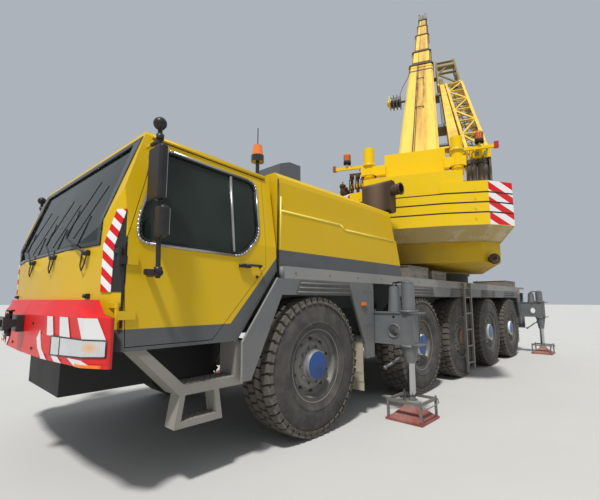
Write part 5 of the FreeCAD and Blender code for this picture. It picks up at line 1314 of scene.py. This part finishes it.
# Underside and tail
under = Form()
for x0, x1 in ((5.78, 3.67), (3.31, 2.02), (1.66, 0.37), (0.01, -1.28)):
    under.rod((x0, 0, 0.73), (x1, 0, 0.73), 0.05, 16)
    for x in (x0, x1):
        under.rod((x - 0.05, 0, 0.73), (x + 0.05, 0, 0.73), 0.085, 16)
for axleX in wheelSizes["axleX"]:
    for sign in (-1, 1):
        under.rod((axleX - 0.14, sign * 0.84, 0.93), (axleX - 0.3, sign * 0.84, 0.93), 0.075, 16)
        under.rod((axleX - 0.14, sign * 0.84, 0.93), (axleX - 0.06, sign * 0.86, 0.86), 0.03, 10)
        under.tube([(axleX - 0.3, sign * 0.84, 0.93), (axleX - 0.36, sign * 0.7, 1.0),
                    (axleX - 0.3, sign * 0.47, 1.1)], 0.012)
for y, x0, x1 in ((0.5, 6.1, -2.3), (-0.5, 6.1, -2.3), (0.53, 6.1, -2.3)):
    under.rod((x0, y, 1.12), (x1, y, 1.12), 0.014, 8)
under.piece("drive_shafts", ["axle"], "carrier", "axle_black")

tail = Form()
tail.box((-3.06, -0.16, 1.02), (-3.028, 0.16, 1.28), 0.01)
tail.lathe([(0, 0.075), (0.05, 0.07), (0.06, 0.05), (0.1, 0.045)], (-3.05, 0, 1.15), (-1, 0, 0), 24)
tail.rod((-3.11, 0, 1.06), (-3.11, 0, 1.26), 0.02, 12)
for sign in (-1, 1):
    tail.tube([(-3.03, sign * 0.62, 0.72), (-3.09, sign * 0.62, 0.72), (-3.09, sign * 0.62, 0.84),
               (-3.03, sign * 0.62, 0.84)], 0.016)
    for z in (0.75, 1.0, 1.3, 1.5):
        tail.rod((-3.028, sign * 1.4, z), (-3.04, sign * 1.4, z), 0.014, 6)
tail.piece("tail_coupling", ["frame"], "carrier", "frame_grey")
print("deck, cover and tail dressed")

# Upper works, in their slewed frame
gear = Form(slewFrame)
for sign, cylinderY, z in ((1, 0.775, 3.765), (-1, -0.685, 3.85)):
    for level in (3.3, 3.57):
        gear.band((-3.415, cylinderY, level), vertical, -0.01, 0.01, 0.1, 0.128)
    gear.band((-3.4, cylinderY, z), vertical, -0.03, 0.03, 0.094, 0.112)
    for y in (0.52, 0.6, 0.95):
        gear.rod((-3.4, sign * y, z - 0.045), (-3.365, sign * y, z - 0.045), 0.014, 6)
        gear.rod((-3.46, sign * y, z - 0.045), (-3.44, sign * y, z - 0.045), 0.014, 6)
gear.paint = 1
for sign, x, y, z in ((1, -3.415, 1.17, 3.85), (-1, -3.415, -1.03, 3.935)):
    gear.lathe([(0.0, 0.04), (0.0, 0.07), (0.05, 0.068), (0.06, 0.064)], (x, y, z), vertical, 28)
    for i, j in around(12, 0.0615):
        gear.stud((x + i, y + j, z + 0.07), (0, 0, 0.1), 0.0035, 5)
    gear.tube([(x, y - sign * 0.02, z), (x - 0.02, y - sign * 0.08, z - 0.06),
               (x, y - sign * 0.3, z - 0.07)], 0.007, 6)
gear.piece("lamp_arm_fittings", ["yellow", "black"], "superstructure", "body_yellow")

valves = Form(slewFrame)
uprightValves = (1.145, 1.035, 0.93)
for x in (-3.15, -2.95, -2.75, -2.55):
    valves.band((x, 1.33, 3.32), vertical, 0.0, 0.03, 0.044, 0.055, 16)
    valves.lathe([(0.0, 0.044), (0.0, 0.056), (0.05, 0.056), (0.07, 0.03)], (x, 1.33, 3.5), vertical, 16)
    valves.tube([(x, 1.33, 3.55), (x + 0.01, 1.33, 3.6), (x + 0.06, 1.33, 3.63)], 0.01)
    valves.tube([(x, 1.29, 3.4), (x + 0.02, 1.22, 3.38), (x + 0.05, 1.16, 3.3), (x + 0.05, 1.14, 3.245)],
                0.011)
    valves.rod((x, 1.33, 3.42), (x, 1.385, 3.42), 0.012, 8)
for y in uprightValves:
    valves.lathe([(0.0, 0.02), (0.0, 0.045), (0.09, 0.045), (0.1, 0.03), (0.2, 0.03), (0.21, 0.042),
                  (0.3, 0.042), (0.31, 0.028), (0.4, 0.028), (0.41, 0.044), (0.49, 0.044), (0.5, 0.02)],
                 (-3.15, y, 3.236), vertical, 16)
    valves.tube([(-3.19, y, 3.52), (-3.24, y - 0.03, 3.5), (-3.25, y - 0.03, 3.3), (-3.22, y - 0.02, 3.24)],
                0.01)
    valves.tube([(-3.15, y, 3.6), (-3.19, y + 0.04, 3.62), (-3.2, y + 0.04, 3.42)], 0.008)
valves.box((-3.17, 0.885, 3.725), (-3.13, 1.19, 3.75), 0.004)
valves.paint = 1
for y in uprightValves:
    valves.rod((-3.15, y, 3.45), (-3.15, y, 3.53), 0.043, 12)
    valves.rod((-3.15, y, 3.26), (-3.15, y, 3.3), 0.047, 12)
valves.piece("valve_bank_fittings", ["rusty", "yellow"], "superstructure", "engine_iron")

stack = Form(slewFrame)
for y in (-0.915, -1.09):
    for z in (3.3, 3.66):
        stack.band((-3.15, y, z), vertical, -0.012, 0.012, 0.086, 0.096)
    stack.tube([(-3.235, y, 3.4), (-3.29, y, 3.42), (-3.3, y, 3.6), (-3.27, y, 3.76)], 0.012)
    stack.tube([(-3.235, y + 0.03, 3.32), (-3.27, y + 0.03, 3.3), (-3.28, y + 0.03, 3.26)], 0.012)
stack.paint = 1
stack.tube([(-3.265, -0.92, 3.8), (-3.33, -0.95, 3.86), (-3.33, -1.1, 3.9), (-3.265, -1.16, 3.86)], 0.01)
stack.rod((-3.262, -1.0, 3.8), (-3.285, -1.0, 3.8), 0.035, 16)
stack.rod((-3.262, -1.13, 3.81), (-3.285, -1.13, 3.81), 0.028, 16)
stack.tube([(-3.15, -1.195, 3.88), (-3.15, -1.2, 3.96), (-3.15, -1.02, 3.97), (-3.15, -0.98, 3.88)], 0.009)
stack.piece("valve_stack_fittings", ["axle", "steel"], "superstructure", "engine_iron")

slabTop = 3.24
weight = Form(slewFrame)
for level in (2.742, 2.902, 3.06):
    for y in (-0.9, 0.9):
        weight.rod((-3.702, y, level + 0.03), (-3.71, y, level + 0.03), 0.012, 8)
for x, y in ((-3.0, 0.45), (-3.0, -0.45), (-2.7, 1.05), (-2.7, -1.2)):
    weight.tube([(x - 0.06, y, slabTop), (x - 0.06, y, 3.3), (x + 0.06, y, 3.3), (x + 0.06, y, slabTop)],
                0.014)
weight.paint = 1
weight.lathe([(0.0, 0.06), (0.03, 0.06), (0.035, 0.085), (0.06, 0.085), (0.065, 0.05), (0.05, 0.03)],
             (-3.2, -1.143, 2.04), (-0.9, -0.3, 0), 28)
weight.rod((-3.14, -1.123, 2.04), (-3.235, -1.155, 2.04), 0.055, 24)
weight.piece("counterweight_fittings", ["yellow", "rusty"], "superstructure", "body_yellow")

body = Form(slewFrame)
for sign in (-1, 1):
    for x in (-1.9, -1.3, -0.7, -0.1, 0.5):
        body.rod((x, sign * 0.515, 2.42), (x, sign * 0.522, 2.42), 0.018, 6)
    body.rod((-1.6, sign * 0.52, 3.45), (-1.6, sign * 0.545, 3.45), 0.11, 24)
    for x, z in around(8, 0.085):
        body.stud((x - 1.6, sign * 0.54, z + 3.45), (0, sign * 0.015, 0), 0.012)
    rail = [(-2.3, sign * 1.2, 2.33), (-2.3, sign * 1.2, 2.5), (-1.2, sign * 1.2, 2.5),
            (-1.2, sign * 1.2, 2.33)]
    body.tube(rail, 0.016)
body.paint = 1
for i in range(6):
    y = 0.12 + 0.05 * i
    body.tube([(-0.1, y, 2.34), (-0.25, y, 2.46), (-0.9, y * 0.9, 3.15), (-1.35, y * 0.8, 3.28)], 0.014)
body.rod((0.62, -0.72, 2.33), (0.62, -0.72, 2.68), 0.13, 24)
body.rod((0.62, -0.72, 2.68), (0.62, -0.72, 2.78), 0.08, 20)
body.tube([(0.62, -0.6, 2.6), (0.5, -0.56, 2.62), (0.3, -0.56, 2.5), (0.2, -0.56, 2.34)], 0.016)
body.piece("upper_fittings", ["yellow", "axle"], "superstructure", "body_yellow")

drumX, drumZ = -0.65, 2.75
winch = Form(slewFrame)
coil = [(-0.318, 0.24)]
for i in range(28):
    y = -0.308 + i * 0.022
    coil += [(y - 0.0105, 0.292), (y, 0.304), (y + 0.0105, 0.292)]
winch.lathe(coil + [(0.318, 0.24)], (drumX, 0, drumZ), (0, 1, 0), 40)
winch.paint = 1
for y in (-0.352, 0.352):
    for x, z in around(12, 0.27):
        winch.stud((x + drumX, y, z + drumZ), (0, math.copysign(0.01, y), 0), 0.014)
winch.piece("winch_rope", ["rope", "steel"], "superstructure", "engine_iron")

# Crane cab: window outline on its outer side, seals, handle, wiper and guard bars
craneCab = Form(slewFrame)
craneCab.loop([(x, 1.483, z) for x, z in ((0.56, 2.7), (2.06, 2.7), (1.85, 3.4), (0.62, 3.4))], 0.014)
craneCab.loop([(2.155, 0.92, 2.69), (2.155, 1.41, 2.69), (1.97, 1.41, 3.43), (1.97, 0.92, 3.43)], 0.013)
craneCab.loop([(0.9, 0.95, 3.523), (1.7, 0.95, 3.523), (1.7, 1.38, 3.523), (0.9, 1.38, 3.523)], 0.012)
for i in range(7):
    x = 0.98 + i * 0.11
    craneCab.rod((x, 0.93, 3.54), (x, 1.4, 3.54), 0.008, 8)
craneCab.rod((1.12, 1.484, 2.14), (1.12, 1.484, 3.45), 0.006, 6)
craneCab.rod((0.5, 1.484, 2.14), (0.5, 1.484, 3.45), 0.006, 6)
craneCab.tube([(1.04, 1.48, 2.5), (1.04, 1.52, 2.5), (1.04, 1.52, 2.62), (1.04, 1.48, 2.62)], 0.01)
craneCab.tube([(0.44, 1.48, 2.3), (0.44, 1.53, 2.3), (0.44, 1.53, 3.2), (0.44, 1.48, 3.2)], 0.012)
craneCab.tube([(2.17, 1.17, 2.62), (2.2, 1.17, 2.66), (2.14, 1.2, 3.0)], 0.008)
craneCab.rod((2.165, 1.16, 2.8), (2.06, 1.3, 3.2), 0.008, 6)
for z in (2.25, 3.2):
    craneCab.rod((1.14, 1.486, z), (1.14, 1.486, z + 0.08), 0.014, 8)
craneCab.paint = 1
craneCab.box((0.7, 1.49, 2.06), (1.3, 1.62, 2.085), 0.004)
craneCab.tube([(0.75, 1.6, 2.06), (0.75, 1.6, 1.86), (1.25, 1.6, 1.86), (1.25, 1.6, 2.06)], 0.014)
craneCab.rod((0.5, 0.95, 3.52), (0.5, 0.95, 3.58), 0.04, 14)
craneCab.piece("crane_cab_trim", ["seal", "frame"], "superstructure", "interior_plastic")
print("upper works dressed")

# Fine bracing of the folded jib, between its four chords
bracing = Form(boomFrame)
jibSizes = {"start": 1.24, "long": 5.86, "bays": 18, "low": 0.08, "high": 0.56}


def jibChord(x, inner, level):
    share = (x - jibSizes["start"]) / jibSizes["long"]
    return Vector((x, (-1.02 + 0.19 * share) if inner else (-1.42 + 0.1 * share), level))


levels = (jibSizes["low"], jibSizes["high"])
for i in range(jibSizes["bays"]):
    x0, x1 = (jibSizes["start"] + jibSizes["long"] * k / jibSizes["bays"] for k in (i, i + 1))
    odd = i % 2
    for level in levels:
        bracing.rod(jibChord(x0, odd, level), jibChord(x1, not odd, level), 0.014, 6)
    for inner in (True, False):
        near, far = levels if odd else reversed(levels)
        bracing.rod(jibChord(x0, inner, near), jibChord(x1, inner, far), 0.014, 6)
bracing.paint = 1
# Two ropes along the jib, each through (x, level, distance from the inner chord) points
for radius, route in ((0.02, [(1.3, 0.3, -0.1), (4.0, 0.22, -0.14), (7.0, 0.3, -0.08)]),
                      (0.014, [(1.3, 0.4, -0.2), (4.2, 0.36, -0.2), (7.0, 0.45, -0.16)])):
    bracing.tube([jibChord(x, True, level) + Vector((0, aside, 0)) for x, level, aside in route], radius)
bracing.rod((7.3, -1.0, 0.32), (7.3, -1.2, 0.32), 0.11, 20)
bracing.rod((7.3, -0.98, 0.32), (7.3, -1.22, 0.32), 0.035, 12)
bracing.piece("jib_bracing", ["bracing", "rope"], "boom", "boom_yellow")

reelX, reelZ = 6.4, 0.44
reel = Form(boomFrame)
for y in (0.7, 0.815, 0.93):
    reel.lathe([(-0.028, 0.15)] + [(-0.028 + 0.0093 * k, 0.185 if k % 2 else 0.176) for k in range(7)]
               + [(0.03, 0.15)], (reelX, y + 0.012, reelZ), (0, 1, 0), 32)
reel.paint = 1
for y in (0.659, 0.774, 0.889, 1.031):
    for x, z in around(8, 0.2):
        reel.stud((x + reelX, y, z + reelZ), (0, -0.006, 0), 0.016, 8)
reel.lathe([(0.0, 0.112), (0.05, 0.114), (0.09, 0.112), (0.095, 0.09), (0.1, 0.02)],
           (reelX, 1.02, reelZ), (0, 1, 0), 32)
reel.paint = 2
reel.tube([(reelX, 0.7, 0.62), (7.2, 0.6, 0.72), (8.4, 0.46, 0.74), (9.9, 0.4, 0.76)], 0.011)
reel.piece("reel_cable", ["black", "yellow", "rope"], "boom", "frame_grey")

# Boom, along its own axis
for count, row in enumerate(sectionTable):
    form = Form(boomFrame)
    half, top, low = row["wide"] / 2, boomAxisV + row["deep"] / 2, boomAxisV - row["deep"] / 2
    end = row["end"]
    # Pad bolts round the collar
    for y in (-0.72, -0.36, 0.0, 0.36, 0.72):
        for x in (end - 0.11, end - 0.04):
            form.rod((x, y * half, top + 0.038), (x, y * half, top + 0.056), 0.012, 6)
    for z in (0.3, 0.55, 0.8):
        for sign in (-1, 1):
            for x in (end - 0.11, end - 0.04):
                level = low + (top - low) * z
                form.rod((x, sign * (half + 0.038), level), (x, sign * (half + 0.054), level), 0.012, 6)
    if count == 0:
        # The base alone carries rope guides and ropes
        form.paint = 1
        for x in (4.3, 7.75):
            form.tube([(x, -0.12, top), (x + 0.01, -0.1, top + 0.045), (x + 0.01, 0.11, top + 0.045),
                       (x, 0.13, top)], 0.014)
        form.paint = 2
        form.tube([(-0.1, 0.126, top + 0.04), (end - 0.15, 0.126, top + 0.052),
                   (end - 0.005, 0.126, top + 0.052)], 0.011)
        form.tube([(-0.1, 0.086, top + 0.038), (end - 0.005, 0.086, top + 0.048)], 0.008)
    form.piece("collar_fittings_%d" % count, ["greased", "black", "rope"], row["body"], "boom_yellow")

baseBits = Form(boomFrame)
for x0 in (3.15, 6.2):
    baseBits.box((x0, -0.69, 0.24), (x0 + 0.22, -0.45, 0.5), 0.006)
    for x in (x0 + 0.04, x0 + 0.18):
        baseBits.rod((x, -0.62, 0.5), (x, -0.62, 0.53), 0.018, 6)
baseBits.box((3.2, -0.63, 0.3), (6.38, -0.58, 0.46), 0.006)
for x0 in (0.9, 2.1):
    baseBits.box((x0, -0.69, 0.3), (x0 + 0.12, -0.45, 0.4), 0.006)
baseBits.paint = 1
for z, radius in ((0.16, 0.016), (0.12, 0.016), (0.08, 0.02)):
    baseBits.tube([(0.3, 0.462, z), (2.0, 0.462, z), (6.8, 0.462, z), (9.4, 0.462, z)], radius)
for x0 in (0.8, 2.4, 4.0, 5.6, 7.2, 8.8):
    baseBits.box((x0, 0.44, 0.05), (x0 + 0.04, 0.485, 0.19), 0.004)
baseBits.piece("boom_side_brackets", ["frame", "black"], "boom", "frame_grey")

head = Form(boomFrame)
end = sectionTable[-1]["end"]
for x, z in ((0.52, -0.06), (0.59, 0.44)):
    for sign in (-1, 1):
        head.rod((end + x, sign * 0.3, z), (end + x, sign * 0.318, z), 0.055, 16)
        head.rod((end + x, sign * 0.318, z), (end + x, sign * 0.328, z), 0.026, 6)
for sign in (-1, 1):
    for x, z in ((0.0, 0.2), (0.0, 0.45), (0.3, 0.6), (0.3, -0.1), (0.75, 0.4), (0.72, 0.62), (0.2, 0.05)):
        head.rod((end + x, sign * 0.3, z), (end + x, sign * 0.31, z), 0.018, 6)
for x, z in ((0.84, 0.42), (0.6, -0.24), (0.78, 0.2)):
    head.rod((end + x - 0.03, -0.3, z), (end + x - 0.03, 0.3, z), 0.018, 10)
head.paint = 1
for y in (-0.15, -0.05, 0.05, 0.15):
    points = []
    for i in range(13):
        a = math.radians(100 - 15 * i)
        points.append((end + 0.59 + math.cos(a) * 0.213, y, 0.44 + math.sin(a) * 0.213))
    head.tube(points, 0.009, 6)
head.tube([(26.98, -0.02, 0.6), (27.02, -0.02, 0.72), (27.2, -0.02, 0.8), (27.5, -0.02, 0.72)], 0.011)
head.paint = 2
head.rod((end + 0.2, 0.22, 0.79), (end + 0.2, 0.22, 0.86), 0.035, 14)
head.ball((end + 0.2, 0.22, 0.87), 0.035, 12)
head.paint = 0
head.tube([(end + 0.35, -0.2, 0.79), (end + 0.35, -0.2, 0.85), (end + 0.45, -0.2, 0.85)], 0.01)
for x, y in around(3, 0.05):
    cup = (end + 0.35 + x, y - 0.2, 0.85)
    head.rod((end + 0.35, -0.2, 0.85), cup, 0.005, 6)
    head.ball(cup, 0.016, 8)
head.piece("boom_head_fittings", ["axle", "rope", "redLens"], "boom_tube_5", "boom_yellow")
print("boom dressed")

# Camera, light and floor
cameraSizes = {"place": (9.046, 4.095, 1.392), "forward": (-0.7267, -0.6743, 0.1310), "lens": 22.55}


def makeCamera():
    data = bpy.data.cameras.new("camera")
    data.lens = cameraSizes["lens"]
    data.sensor_width = 36
    data.clip_start = 0.05
    data.clip_end = 500
    camera = bpy.data.objects.new("camera", data)
    bpy.context.scene.collection.objects.link(camera)
    camera.location = cameraSizes["place"]
    camera.rotation_euler = Vector(cameraSizes["forward"]).to_track_quat("-Z", "Y").to_euler()
    bpy.context.scene.camera = camera


def makeStage():
    floor = Form()
    floor.box((-120, -120, -0.06), (120, 120, 0))
    made = floor.placed("floor", [simple("floorConcrete", (0.5, 0.49, 0.46), 0.8, 0, 0.05, 0.8)])
    sun = bpy.data.lights.new("sun", "SUN")
    sun.energy = 3.6
    sun.angle = math.radians(6)
    lamp = bpy.data.objects.new("sun", sun)
    bpy.context.scene.collection.objects.link(lamp)
    lamp.rotation_euler = Vector((0.42, 0.2, 0.885)).to_track_quat("Z", "Y").to_euler()
    world = bpy.data.worlds.new("softSky")
    bpy.context.scene.world = world
    world.use_nodes = True
    world.node_tree.nodes["Background"].inputs[0].default_value = (0.76, 0.82, 0.9, 1)
    world.node_tree.nodes["Background"].inputs[1].default_value = 0.55


makeCamera()
makeStage()
bpy.context.scene.view_settings.view_transform = "Standard"
print("scene ready")
